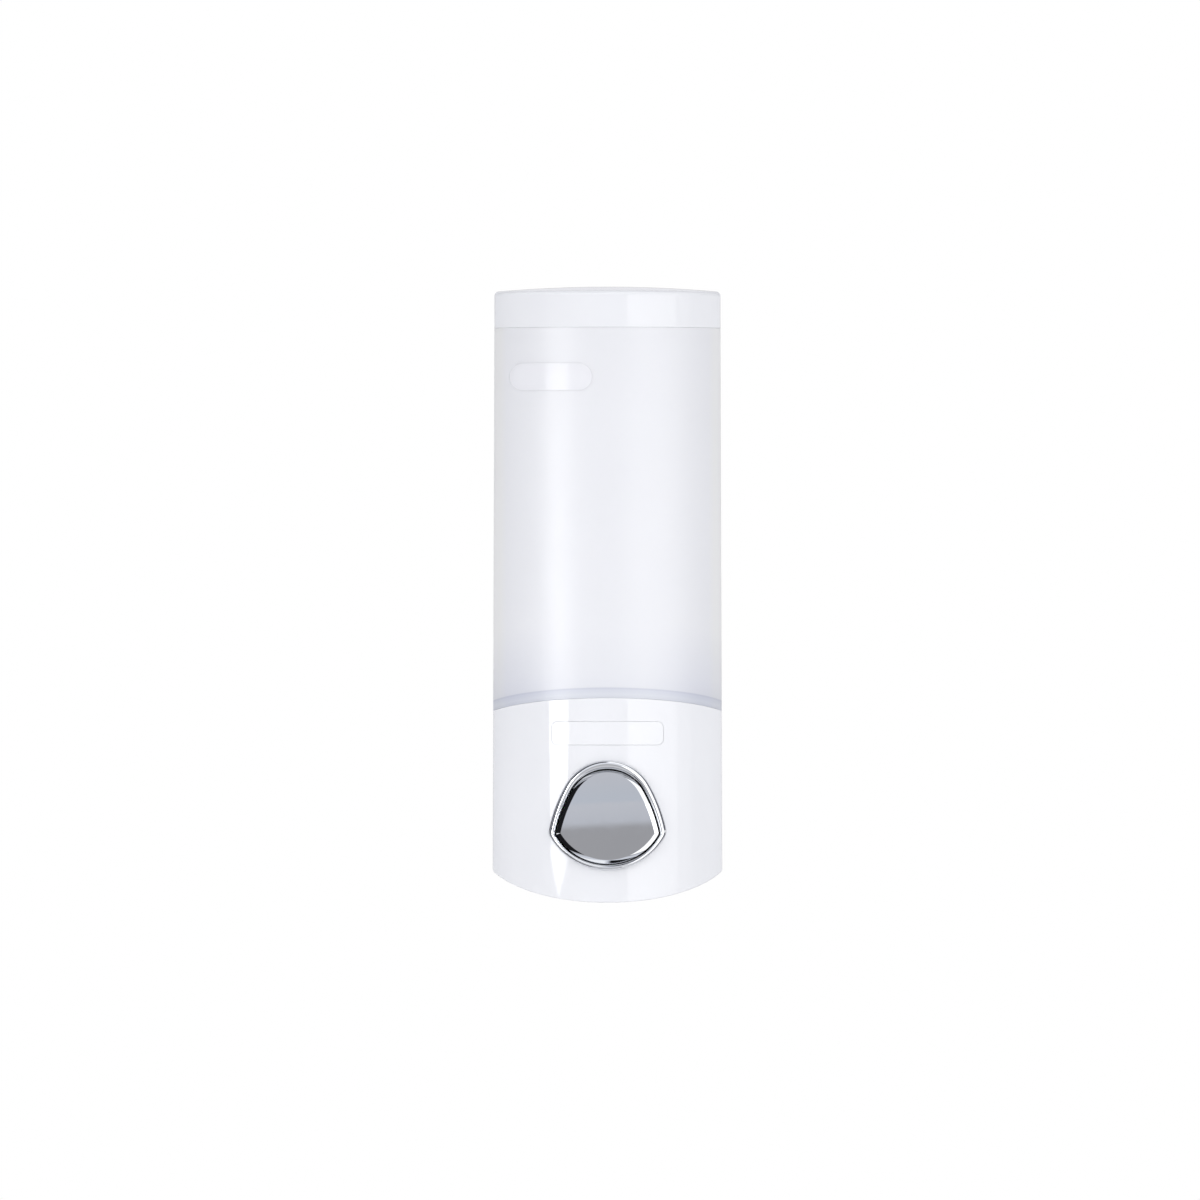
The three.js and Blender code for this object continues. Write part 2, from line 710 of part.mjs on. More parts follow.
function pumpBody() {
  const { x: earX, z: earZ } = PUMP_SCREW;
  const ears = rectangle(
    -PUMP.earHalfWidth,
    PUMP.earHalfWidth,
    earZ - PUMP.earHalfHeight,
    earZ + PUMP.earHalfHeight,
  );
  const earHole = rod(SCREW.hole, PUMP.flangeFrontY - 1, PUMP.flangeBackY + 1);
  const flowHole = rod(INLET.flowHole, INLET.webZ - 1, 0);
  const body = joined([
    alongY(0, PUMP_Z, rod(PUMP.outer, PUMP.mouthY, PUMP.backY)),
    alongY(0, PUMP_Z, rod(PUMP.discRadius, PUMP.flangeFrontY, PUMP.flangeBackY)),
    beam(ears, PUMP.flangeFrontY, PUMP.flangeBackY),
    upright(OUTLET_Y, rod(INLET.tube, PUMP_Z, INLET.cupFloorZ - 1)),
    upright(OUTLET_Y, rod(INLET.cupOuter, INLET.webZ, INLET.cupTopZ)),
    upright(OUTLET_Y, rod(OUTLET.tube, OUTLET.endZ, PUMP_Z)),
  ]);
  const cuts = joined([
    alongY(0, PUMP_Z, rod(PUMP.bore, PUMP.mouthY - 1, PUMP.boreEndY)),
    upright(OUTLET_Y, rod(INLET.cupInner, INLET.cupFloorZ, 0)),
    upright(OUTLET_Y, rod(INLET.chamber, INLET.webTopZ, 0)),
    upright(OUTLET_Y, rod(INLET.chamber, INLET.chamberZ, INLET.webZ)),
    upright(OUTLET_Y, rod(INLET.port, PUMP_Z, INLET.chamberZ + 1), HOLE_SIDES),
    upright(OUTLET_Y, rod(INLET.stemHole, INLET.webZ - 1, 0), HOLE_SIDES),
    upright(OUTLET_Y - INLET.flowHoleReach, flowHole, HOLE_SIDES),
    upright(OUTLET_Y + INLET.flowHoleReach, flowHole, HOLE_SIDES),
    upright(OUTLET_Y, rod(OUTLET.port, OUTLET.seatZ - 1, PUMP_Z), HOLE_SIDES),
    upright(OUTLET_Y, rod(OUTLET.chamber, OUTLET.endZ - 1, OUTLET.seatZ)),
    ...[-earX, earX].map((x) => alongY(x, earZ, earHole, HOLE_SIDES)),
  ]);
  return piece('pump_body', body.subtract(cuts), mouldedPlastic);
}

function pumpCollar() {
  return piece('pump_collar', solid(turned([
    [COLLAR.hole, COLLAR.frontY],
    [COLLAR.outer, COLLAR.frontY],
    [COLLAR.outer, COLLAR.skirtY],
    [COLLAR.inner, COLLAR.skirtY],
    [COLLAR.inner, COLLAR.backY],
    [COLLAR.hole, COLLAR.backY],
    [COLLAR.hole, COLLAR.frontY],
  ])), mouldedPlastic);
}

function pumpPiston() {
  const [grooveLow, grooveHigh] = [PISTON.grooveY - PISTON.grooveHalf, PISTON.grooveY + PISTON.grooveHalf];
  return piece('pump_piston', solid(turned([
    [0, PISTON.tipY],
    [PISTON.stem, PISTON.tipY],
    [PISTON.stem, PISTON.frontY],
    [PISTON.head, PISTON.frontY],
    [PISTON.head, grooveLow],
    [PISTON.groove, grooveLow],
    [PISTON.groove, grooveHigh],
    [PISTON.head, grooveHigh],
    [PISTON.head, PISTON.backY],
    [0, PISTON.backY],
  ])), mouldedPlastic);
}

function pistonSeal() {
  const radius = (PISTON.head - PISTON.groove - CLEARANCE) / 2;
  const middle = PISTON.head - radius;
  const ring = Array.from({ length: 9 }, (_, i) => {
    const angle = (i * Math.PI) / 4;
    return [middle + radius * Math.cos(angle), PISTON.grooveY + radius * Math.sin(angle)];
  });
  return piece('piston_seal', solid(turned(ring)), rubber);
}

function tankSeal() {
  const [inner, outer] = [TANK.spigotRadius + CLEARANCE, INLET.cupInner - CLEARANCE];
  const { lowZ, highZ } = TANK_SEAL;
  const ring = [[inner, lowZ], [outer, lowZ], [outer, highZ], [inner, highZ], [inner, lowZ]];
  return piece('tank_seal', solid(turned(ring)), rubber);
}

// Umbrella valve: a disc under the web, held by a stem with a bulb above it
function inletValve() {
  const discTop = INLET.webZ - CLEARANCE;
  const bulb = INLET.webTopZ + CLEARANCE;
  return piece('inlet_valve', solid(turned([
    [0, discTop - UMBRELLA.thickness],
    [UMBRELLA.middle, discTop - UMBRELLA.thickness],
    [UMBRELLA.rim, discTop - UMBRELLA.rimThickness],
    [UMBRELLA.rim, discTop],
    [UMBRELLA.stem, discTop],
    [UMBRELLA.stem, bulb],
    [UMBRELLA_BULB.radius, bulb],
    [UMBRELLA_BULB.topRadius, bulb + UMBRELLA_BULB.shoulder],
    [0, bulb + UMBRELLA_BULB.height],
  ])), rubber);
}

function outletBall() {
  return piece('outlet_ball', solid(new THREE.SphereGeometry(OUTLET.ball, 16, 10)), steel);
}

function outletNozzle() {
  const shoulder = OUTLET.endZ - CLEARANCE;
  return piece('outlet_nozzle', solid(turned([
    [NOZZLE.bore, NOZZLE.tipZ],
    [NOZZLE.tipFace, NOZZLE.tipZ],
    [NOZZLE.tip, NOZZLE.tipEdgeZ],
    [NOZZLE.neck, NOZZLE.neckZ],
    [NOZZLE.outer, NOZZLE.coneTopZ],
    [NOZZLE.outer, NOZZLE.topZ],
    [NOZZLE.inner, NOZZLE.topZ],
    [NOZZLE.inner, shoulder],
    [OUTLET.chamber, shoulder],
    [OUTLET.chamber, NOZZLE.ledgeZ],
    [NOZZLE.bore, NOZZLE.ledgeZ],
    [NOZZLE.bore, NOZZLE.tipZ],
  ])), mouldedPlastic);
}

// ---------------------------------------------------------------- assembly

const dispenser = new THREE.Group();

dispenser.add(wallPlate());
['foam_pad_upper', 'foam_pad_lower'].forEach((name, i) => dispenser.add(foamPad(name, PAD_HEIGHTS[i])));
dispenser.add(backFrame(), tank(), tankBadge(), lid(), housing(), labelPlate());
dispenser.add(bezel(), buttonCap(), buttonCarrier(), pumpBody());

// Screws through the frame's plate into the tank and the housing, and through the pump's ears
const frameSeatY = FRAME.plateBackY + CLEARANCE;
const screwRows = [
  ['tank', FRAME_SCREWS.tank, frameSeatY, FRAME_SCREW_TIP_Y],
  ['housing', FRAME_SCREWS.housing, frameSeatY, FRAME_SCREW_TIP_Y],
  ['pump', PUMP_SCREW, PUMP.flangeBackY + CLEARANCE, PUMP_SCREW.tipY],
];
for (const [owner, place, seatY, tipY] of screwRows) {
  for (const [hand, side] of [['left', -1], ['right', 1]]) {
    const mesh = screw(`${owner}_screw_${hand}`, seatY - tipY);
    mesh.position.set(side * place.x, seatY, place.z);
    dispenser.add(mesh);
  }
}

// Round pieces on the pump's axis
const pumpAxis = new THREE.Group();
pumpAxis.position.z = PUMP_Z;
pumpAxis.add(pumpCollar(), pumpPiston(), pistonSeal());
pumpAxis.add(piece('return_spring', coil(SPRING, SPRING.frontY, SPRING.backY), steel));
dispenser.add(pumpAxis);

// Round pieces on the vertical line of the soap's way; their own Y axis is turned to Z
const soapWay = new THREE.Group();
soapWay.position.y = OUTLET_Y;
soapWay.rotation.x = Math.PI / 2;
const ball = outletBall();
ball.position.y = OUTLET.ballZ;
soapWay.add(tankSeal(), inletValve(), ball, outletNozzle());
soapWay.add(piece('outlet_spring', coil(VALVE_SPRING, VALVE_SPRING.lowZ, VALVE_SPRING.highZ), steel));
dispenser.add(soapWay);

export default dispenser;
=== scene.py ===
"""Looks of the wall mounted soap dispenser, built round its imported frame.

Shapes are worked out in millimetres in the frame's own axes (+X right, +Y into the wall, +Z up) and
written to the meshes in metres. Places come from the frame's boxes; what those don't show is named
here.
"""

import math

import bmesh
import bpy
from mathutils import Matrix, Vector


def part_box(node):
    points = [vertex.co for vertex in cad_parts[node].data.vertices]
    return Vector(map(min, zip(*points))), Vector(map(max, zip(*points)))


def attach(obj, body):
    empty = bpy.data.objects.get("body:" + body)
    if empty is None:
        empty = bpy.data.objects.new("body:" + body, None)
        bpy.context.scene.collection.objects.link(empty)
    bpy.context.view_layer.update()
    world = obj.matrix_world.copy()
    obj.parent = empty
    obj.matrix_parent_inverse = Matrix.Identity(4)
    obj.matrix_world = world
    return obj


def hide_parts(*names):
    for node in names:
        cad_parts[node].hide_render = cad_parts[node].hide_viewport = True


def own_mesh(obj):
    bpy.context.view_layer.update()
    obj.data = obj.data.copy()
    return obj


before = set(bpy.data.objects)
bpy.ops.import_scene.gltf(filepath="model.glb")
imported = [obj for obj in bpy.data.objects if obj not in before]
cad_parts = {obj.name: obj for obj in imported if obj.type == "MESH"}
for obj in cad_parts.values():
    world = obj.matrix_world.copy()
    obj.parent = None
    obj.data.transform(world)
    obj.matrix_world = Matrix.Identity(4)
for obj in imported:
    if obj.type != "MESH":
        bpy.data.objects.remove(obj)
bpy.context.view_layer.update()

MM = 0.001


# ---------------------------------------------------------------- sizes

def box_mm(node):
    """Lowest and highest corner of a CAD node, in millimetres."""
    low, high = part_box(node)
    return low / MM, high / MM


def centre_mm(node):
    low, high = box_mm(node)
    return (low + high) / 2


LID_LOW, LID_HIGH = box_mm("lid")
TANK_HIGH = box_mm("tank")[1]
HOUSING_LOW = box_mm("housing")[0]
FRAME_LOW, FRAME_HIGH = box_mm("back_frame")

GAP = 0.3                                   # clearance between CAD pieces that touch
SEAM_GAP = 0.04                             # what shows of it at the outer seams
SEAM_EDGE = 0.08                            # edge radius there
HALF_WIDTH = LID_HIGH.x
FRONT_Y = LID_LOW.y
FRONT_RADIUS = 41.0                         # radius of the round front
FRONT_CENTRE_Y = FRONT_Y + FRONT_RADIUS
SIDE_FILLET = 5.0                           # where the round front meets the straight sides
REAR_FILLET = 1.2
LEAST_FILLET = 0.3                          # what is left of a fillet far inside the section
LID_SEAM = TANK_HIGH.z + GAP
CROWN_RISE = 2.0                            # the lid's top above its rim
DRAFT = 8.5e-5                              # widening of the sides per millimetre down
TANK_BACK = FRAME_LOW.y - GAP
SEAM_SLOPE = -0.179                         # fall of the tank's lower seam towards the wall
SEAM_Z = -34.4                              # its height at the front
BOTTOM_SLOPE = 0.41                         # rise of the bottom edge towards the wall
BOTTOM_Z = HOUSING_LOW.z
FAN_INSET = 22.0                            # where a shell's flat floor or roof closes towards its middle

OUTLET_Y = centre_mm("outlet_ball").y       # the soap falls along this line
PUMP_Z = centre_mm("return_spring").z       # the pump lies along this line
PUMP_AXIS = (0, 0, PUMP_Z)
SOAP_WAY = (0, OUTLET_Y, 0)
SCREW_HOLE = 1.8                            # radius
PAST = 1.0                                  # how far a cutter goes past what it cuts
OUTSIDE = -2.0                              # a depth in front of the round front, for cutters


# ---------------------------------------------------------------- mesh helpers

def new_object(name, bm, smooth_angle=40):
    """An object from a bmesh in millimetres, shaded smooth with sharp creases."""
    bmesh.ops.remove_doubles(bm, verts=bm.verts, dist=1e-4)
    bmesh.ops.recalc_face_normals(bm, faces=bm.faces)
    bmesh.ops.scale(bm, vec=(MM, MM, MM), verts=bm.verts)
    mesh = bpy.data.meshes.new(name)
    bm.to_mesh(mesh)
    bm.free()
    obj = bpy.data.objects.new(name, mesh)
    bpy.context.scene.collection.objects.link(obj)
    shade(obj, smooth_angle)
    return obj


def shade(obj, smooth_angle=40):
    mesh = obj.data
    mesh.polygons.foreach_set("use_smooth", [True] * len(mesh.polygons))
    mesh.set_sharp_from_angle(angle=math.radians(smooth_angle))


def add_grid(bm, rows, closed=True, start_fan=False, end_fan=False):
    """Quads between neighbouring rows of points; closed joins the ends of each row."""
    made = [[bm.verts.new(point) for point in row] for row in rows]
    for low, high in zip(made, made[1:]):
        count = len(low)
        for i in range(count if closed else count - 1):
            j = (i + 1) % count
            bm.faces.new((low[i], low[j], high[j], high[i]))
    for wanted, row in ((start_fan, made[0]), (end_fan, made[-1])):
        if wanted:
            middle = sum((v.co for v in row), Vector()) / len(row)
            hub = bm.verts.new(middle)
            for i, vert in enumerate(row):
                bm.faces.new((vert, row[(i + 1) % len(row)], hub))


def closed_shell(name, rows, smooth_angle=40):
    """A solid from rings of points, its first and last ring closed towards their middles."""
    bm = bmesh.new()
    add_grid(bm, rows, start_fan=True, end_fan=True)
    return new_object(name, bm, smooth_angle)


def rounded_profile(corners, steps=4):
    """A profile's corners as points, each corner (a, b, radius, extra...) rounded by its radius.

    The profile lies in the (a, b) plane; whatever follows the radius goes along with each point.
    """
    points = []
    last = len(corners) - 1
    for i, (a, b, radius, *extra) in enumerate(corners):
        here = Vector((a, b))
        if radius <= 0 or i in (0, last):
            points.append((a, b, *extra))
            continue
        back = (Vector(corners[i - 1][:2]) - here).normalized()
        ahead = (Vector(corners[i + 1][:2]) - here).normalized()
        half = back.angle(ahead) / 2
        middle = here + (back + ahead).normalized() * radius / math.sin(half)
        start = here + back * radius / math.tan(half) - middle
        sweep = start.angle_signed(here + ahead * radius / math.tan(half) - middle)
        for step in range(steps + 1):
            arm = start.copy()
            arm.rotate(Matrix.Rotation(-sweep * step / steps, 2))
            points.append((middle.x + arm.x, middle.y + arm.y, *extra))
    return points


def draft(z):
    return 1 + DRAFT * max(0.0, LID_SEAM - z)


def arc_points(x, y, radius, start, end, steps):
    angles = [start + (end - start) * i / steps for i in range(steps + 1)]
    return [(x + radius * math.cos(a), y + radius * math.sin(a)) for a in angles]


def line_points(start, end, steps):
    """Points between two ends, without the ends themselves."""
    shares = [i / steps for i in range(1, steps)]
    return [tuple(a + (b - a) * t for a, b in zip(start, end)) for t in shares]


def d_outline(inset, back, front_steps=96):
    """The D-shaped section seen from above, inset from the outer surface, its flat side at back."""
    half = HALF_WIDTH - inset
    fillet = max(SIDE_FILLET - inset, LEAST_FILLET)
    rear = max(REAR_FILLET - inset, LEAST_FILLET)
    fillet_x = half - fillet
    front_radius = FRONT_RADIUS - inset
    reach = front_radius - fillet
    fillet_y = FRONT_CENTRE_Y - math.sqrt(reach ** 2 - fillet_x ** 2)
    turn = math.acos(fillet_x / reach)
    y = back - inset
    left = arc_points(-fillet_x, fillet_y, fillet, math.pi, math.pi + turn, 6)
    front = arc_points(
        0, FRONT_CENTRE_Y, front_radius, math.pi + turn, 2 * math.pi - turn, front_steps)
    right = arc_points(fillet_x, fillet_y, fillet, -turn, 0, 6)
    rear_right = arc_points(half - rear, y - rear, rear, 0, math.pi / 2, 4)
    rear_left = arc_points(rear - half, y - rear, rear, math.pi / 2, math.pi, 4)
    return (
        left
        + front[1:-1]
        + right
        + line_points(right[-1], rear_right[0], 10)
        + rear_right
        + line_points(rear_right[-1], rear_left[0], 20)
        + rear_left
        + line_points(rear_left[-1], left[0], 10)
    )


def d_ring(inset, z, slope, back=TANK_BACK):
    """One row of points round the section, on a plane that is at height z at the front."""
    row = []
    for x, y in d_outline(inset, back):
        height = z + slope * (y - FRONT_Y)
        row.append((x * draft(height), y, height))
    return row


def d_solid(name, corners, steps=4):
    """A piece swept round the section from profile corners (inset, z, radius, slope)."""
    return closed_shell(name, [d_ring(*point) for point in rounded_profile(corners, steps)])


def add_turned(bm, profile, place, axis, sides=64):
    """A round solid from a profile of (radius, height) that runs from axis to axis or ends where it began."""
    rows = []
    for radius, height in profile:
        row = []
        for i in range(sides):
            angle = 2 * math.pi * i / sides
            u, v = radius * math.cos(angle), radius * math.sin(angle)
            row.append((u, height, v) if axis == "Y" else (u, v, height))
        rows.append([Vector(point) + Vector(place) for point in row])
    add_grid(bm, rows)


def turned(name, corners, place, axis, sides=64, steps=3):
    bm = bmesh.new()
    profile = [tuple(point) for point in rounded_profile(corners, steps)]
    add_turned(bm, profile, place, axis, sides)
    return new_object(name, bm)


def rod(radius, low, high):
    return [(0, low), (radius, low), (radius, high), (0, high)]


def rods(name, rows, sides=48):
    """Several plain round cutters or bosses in one object: (radius, low, high, place, axis)."""
    bm = bmesh.new()
    for radius, low, high, place, axis in rows:
        add_turned(bm, rod(radius, low, high), place, axis, sides)
    return new_object(name, bm)


def add_prism(bm, outline, front, back):
    """An outline in X and Z, closed between two Y places."""
    rows = [[(x, y, z) for x, z in outline] for y in (front, back)]
    made = [[bm.verts.new(point) for point in row] for row in rows]
    count = len(outline)
    for i in range(count):
        j = (i + 1) % count
        bm.faces.new((made[0][i], made[0][j], made[1][j], made[1][i]))
    bm.faces.new(made[0])
    bm.faces.new(made[1])


def prisms(name, rows):
    bm = bmesh.new()
    for outline, front, back in rows:
        add_prism(bm, outline, front, back)
    return new_object(name, bm)


def rounded_rectangle(x, z, half_width, half_height, corner, steps=8):
    points = []
    for i, (sx, sz) in enumerate(((1, 1), (-1, 1), (-1, -1), (1, -1))):
        cx, cz = x + sx * (half_width - corner), z + sz * (half_height - corner)
        start = i * math.pi / 2
        points += arc_points(cx, cz, corner, start, start + math.pi / 2, steps)
    return points


def combine(target, tool, operation):
    """Joins or cuts target with tool, and removes tool."""
    modifier = target.modifiers.new("combine", "BOOLEAN")
    modifier.object = tool
    modifier.operation = operation
    modifier.solver = "EXACT"
    bpy.context.view_layer.update()
    graph = bpy.context.evaluated_depsgraph_get()
    mesh = bpy.data.meshes.new_from_object(target.evaluated_get(graph))
    target.modifiers.clear()
    target.data = mesh
    bpy.data.objects.remove(tool)
    shade(target)


def bevel(obj, width, segments=2, angle=50):
    modifier = obj.modifiers.new("edges", "BEVEL")
    modifier.width = width * MM
    modifier.segments = segments
    modifier.limit_method = "ANGLE"
    modifier.angle_limit = math.radians(angle)
    modifier.use_clamp_overlap = True
    modifier.miter_outer = "MITER_ARC"


def even_normals(obj):
    modifier = obj.modifiers.new("normals", "WEIGHTED_NORMAL")
    modifier.keep_sharp = True


def place(obj, body, material, *nodes):
    """Gives a finished piece its material and its body, and hides the CAD nodes it stands for."""
    obj.data.materials.clear()
    obj.data.materials.append(material)
    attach(obj, body)
    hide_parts(*nodes)
    return obj


# ---------------------------------------------------------------- materials

MIX_SOCKETS = (6, 7, 2)                     # a Mix node's two colours and its result


def new_material(name):
    material = bpy.data.materials.new(name)
    material.use_nodes = True
    return material


class Nodes:
    """A short way to write a node tree."""

    def __init__(self, tree):
        self.tree = tree

    def add(self, kind, **values):
        node = self.tree.nodes.new(kind)
        for key, value in values.items():
            setattr(node, key, value)
        return node

    def link(self, source, target):
        self.tree.links.new(source, target)

    def feed(self, socket, value):
        """Gives a socket another socket's value or a constant."""
        if isinstance(value, bpy.types.NodeSocket):
            self.link(value, socket)
        else:
            socket.default_value = value

    def maths(self, operation, *values):
        node = self.add("ShaderNodeMath", operation=operation)
        for socket, value in zip(node.inputs, values):
            self.feed(socket, value)
        return node.outputs[0]

    def mixed(self, factor, first, second, blend="MIX"):
        node = self.add("ShaderNodeMix", data_type="RGBA", blend_type=blend)
        first_socket, second_socket, result = MIX_SOCKETS
        self.feed(node.inputs["Factor"], factor)
        self.feed(node.inputs[first_socket], first)
        self.feed(node.inputs[second_socket], second)
        return node.outputs[result]

    def product(self, first, second):
        return self.mixed(1, first, second, "MULTIPLY")

    def ramp(self, factor, stops):
        """A colour ramp; a stop is (position, colour) or (position, grey)."""
        node = self.add("ShaderNodeValToRGB")
        elements = node.color_ramp.elements
        while len(elements) < len(stops):
            elements.new(0.5)
        for element, (position, value) in zip(elements, stops):
            element.position = position
            element.color = (*value, 1) if isinstance(value, tuple) else (value, value, value, 1)
        self.link(factor, node.inputs["Fac"])
        return node.outputs["Color"]

    def spread(self, factor, low, high, start=0.3, end=0.7):
        """Maps start..end, a noise's middle range, onto low..high."""
        node = self.add("ShaderNodeMapRange")
        node.inputs["From Min"].default_value = start
        node.inputs["From Max"].default_value = end
        node.inputs["To Min"].default_value = low
        node.inputs["To Max"].default_value = high
        self.link(factor, node.inputs["Value"])
        return node.outputs["Result"]

    def graded(self, factor, start, end, stops):
        """A colour ramp over start..end of a value."""
        return self.ramp(self.spread(factor, 0, 1, start, end), stops)

    def split(self, vector):
        node = self.add("ShaderNodeSeparateXYZ")
        self.link(vector, node.inputs[0])
        return [node.outputs[axis] for axis in "XYZ"]


class Surface(Nodes):
    """The node tree of a material, round its Principled shader."""

    def __init__(self, material):
        super().__init__(material.node_tree)
        self.shader = self.tree.nodes["Principled BSDF"]
        self.coordinates = self.add("ShaderNodeTexCoord").outputs["Object"]

    def noise(self, scale, detail=4, roughness=0.5, stretch=(1, 1, 1)):
        mapping = self.add("ShaderNodeMapping")
        mapping.inputs["Scale"].default_value = stretch
        self.link(self.coordinates, mapping.inputs["Vector"])
        node = self.add("ShaderNodeTexNoise")
        node.inputs["Scale"].default_value = scale
        node.inputs["Detail"].default_value = detail
        node.inputs["Roughness"].default_value = roughness
        self.link(mapping.outputs["Vector"], node.inputs["Vector"])
        return node.outputs["Fac"]

    def bump(self, height, strength, distance=0.0001):
        node = self.add("ShaderNodeBump")
        node.inputs["Strength"].default_value = strength
        node.inputs["Distance"].default_value = distance
        self.link(height, node.inputs["Height"])
        self.link(node.outputs["Normal"], self.shader.inputs["Normal"])

    def set(self, **values):
        for key, value in values.items():
            self.shader.inputs[key.replace("_", " ")].default_value = value


def plastic(name, light, dark, roughness, spread, grain, grain_strength, **shader):
    """Moulded plastic: faint shifts of colour, uneven gloss and a fine surface grain."""
    material = new_material(name)
    nodes = Surface(material)
    tone = nodes.noise(28, detail=3)
    nodes.link(nodes.ramp(tone, [(0.3, dark), (0.7, light)]), nodes.shader.inputs["Base Color"])
    gloss = nodes.noise(160, detail=5)
    rough = nodes.spread(gloss, roughness - spread, roughness + spread)
    nodes.link(rough, nodes.shader.inputs["Roughness"])
    nodes.bump(nodes.noise(grain, detail=2), grain_strength)
    nodes.set(**shader)
    return material


def frosted_plastic_painted_shade_and_light(name, light, dark, roughness, spread, grain, grain_strength, **shader):
    """Frosted plastic with painted light and shade: a painted bluer, darker band where the thick floor is,
    with a painted light line and a painted dark line in it, painted shade in the lower corners, and a painted
    warm, more neutral brightening where the sides are edge-on.
    """
    material = plastic(name, light, dark, roughness, spread, grain, grain_strength, **shader)
    nodes = Surface(material)
    base = nodes.shader.inputs["Base Color"].links[0].from_socket
    x, y, z = nodes.split(nodes.coordinates)
    width = nodes.maths("ABSOLUTE", x)
    above_seam = nodes.maths("MULTIPLY_ADD", y, -SEAM_SLOPE, z)
    seam = SEAM_Z - SEAM_SLOPE * FRONT_Y
    # Painted bluish shade where the thick floor is seen through the wall. It has a painted light line in it
    # and a painted dark line at the floor's top, and painted shade fades out over the 24 mm above.
    floor = nodes.graded(above_seam, seam * MM, (seam + 24) * MM, [
        (0.0, (0.83, 0.85, 0.90)), (0.05, (0.89, 0.91, 0.95)), (0.115, (0.82, 0.84, 0.90)),
        (0.135, (0.74, 0.76, 0.83)), (0.15, (0.95, 0.955, 0.972)), (0.4, (0.978, 0.981, 0.989)),
        (1.0, (1, 1, 1)),
    ])
    # Painted warm brightening where the sides are seen edge-on.
    side = nodes.graded(width, 33.5 * MM, 35.5 * MM, [(0.0, (1, 1, 1)), (1.0, (1.02, 1.015, 0.985))])
    # Painted shade in the lower corners: darker and bluer towards the sides and towards the floor.
    side_shade_share = nodes.spread(width, 0, 1, 12 * MM, 30 * MM)
    low_shade_share = nodes.spread(above_seam, 1, 0, (seam + 3) * MM, (seam + 26) * MM)
    corner = nodes.ramp(nodes.maths("MULTIPLY", side_shade_share, low_shade_share), [
        (0.0, (1, 1, 1)), (1.0, (0.90, 0.905, 0.935)),
    ])
    colour = base
    for tone in (floor, side, corner):
        colour = nodes.product(colour, tone)
    nodes.link(colour, nodes.shader.inputs["Base Color"])
    return material


def metal(name, light, dark, roughness, spread, stretch=(1, 1, 1), scratch=0.02):
    """Bare or plated metal: uneven polish with fine marks along one direction."""
    material = new_material(name)
    nodes = Surface(material)
    tone = nodes.noise(60, detail=4, stretch=stretch)
    nodes.link(nodes.ramp(tone, [(0.25, dark), (0.75, light)]), nodes.shader.inputs["Base Color"])
    rough = nodes.spread(nodes.noise(320, detail=6, stretch=stretch), roughness, roughness + spread)
    nodes.link(rough, nodes.shader.inputs["Roughness"])
    nodes.bump(nodes.noise(900, detail=4, stretch=stretch), scratch, 0.00005)
    nodes.set(Metallic=1.0)
    return material


white_gloss = plastic(
    "white_gloss", (0.750, 0.758, 0.788), (0.740, 0.748, 0.778), 0.055, 0.015, 700, 0.006, IOR=1.5,
)
white_label = plastic(
    "white_label", (0.764, 0.772, 0.800), (0.754, 0.762, 0.791), 0.10, 0.02, 900, 0.01, IOR=1.5,
)
frosted = frosted_plastic_painted_shade_and_light(
    "frosted_tank", (0.908, 0.916, 0.951), (0.898, 0.906, 0.941), 0.38, 0.03, 2200, 0.05,
    IOR=1.45, Transmission_Weight=0.25, Specular_IOR_Level=1.0,
)
clear = plastic(
    "clear_badge", (0.835, 0.840, 0.878), (0.825, 0.830, 0.868), 0.18, 0.03, 500, 0.03,
    IOR=1.45, Transmission_Weight=0.12,
)
frame_white = plastic(
    "frame_white", (0.86, 0.865, 0.88), (0.84, 0.845, 0.865), 0.42, 0.06, 3200, 0.12, IOR=1.48,
)
natural_white = plastic(
    "natural_plastic", (0.80, 0.80, 0.79), (0.76, 0.765, 0.76), 0.38, 0.06, 1500, 0.08,
    IOR=1.5, Subsurface_Weight=0.15, Subsurface_Scale=0.002,
)
nozzle_white = plastic(
    "nozzle_plastic", (0.78, 0.785, 0.79), (0.74, 0.745, 0.75), 0.30, 0.05, 1500, 0.06, IOR=1.5,
)
black_rubber = plastic(
    "black_rubber", (0.035, 0.035, 0.038), (0.022, 0.022, 0.024), 0.62, 0.1, 2600, 0.2, IOR=1.5,
)
silicone = plastic(
    "silicone", (0.72, 0.71, 0.67), (0.64, 0.63, 0.60), 0.48, 0.06, 1800, 0.1,
    IOR=1.42, Subsurface_Weight=0.3, Subsurface_Scale=0.002,
)
foam_grey = plastic(
    "adhesive_foam", (0.70, 0.71, 0.72), (0.52, 0.53, 0.55), 0.9, 0.06, 4200, 0.9, IOR=1.4,
)
chrome = metal("chrome", (0.80, 0.81, 0.83), (0.76, 0.775, 0.80), 0.02, 0.03, scratch=0.003)
spring_steel = metal("spring_steel", (0.62, 0.63, 0.65), (0.48, 0.49, 0.52), 0.16, 0.12, scratch=0.05)
ball_steel = metal("ball_steel", (0.70, 0.71, 0.73), (0.62, 0.63, 0.66), 0.05, 0.05)
screw_steel = metal("zinc_steel", (0.66, 0.67, 0.66), (0.50, 0.51, 0.53), 0.22, 0.14, scratch=0.08)


# ---------------------------------------------------------------- lid

def crown_z(x, y):
    reach = math.hypot(x, y - FRONT_CENTRE_Y) / FRONT_RADIUS
    return LID_HIGH.z - CROWN_RISE * reach ** 2


def crown_rows(inset, back, shares):
    """Rows of the crowned top, drawn in from an inset outline towards the middle."""
    rows = []
    for share in shares:
        row = []
        for x, y in d_outline(inset, back):
            x, y = share * x, FRONT_CENTRE_Y + share * (y - FRONT_CENTRE_Y)
            row.append((x, y, crown_z(x, y)))
        rows.append(row)
    return rows


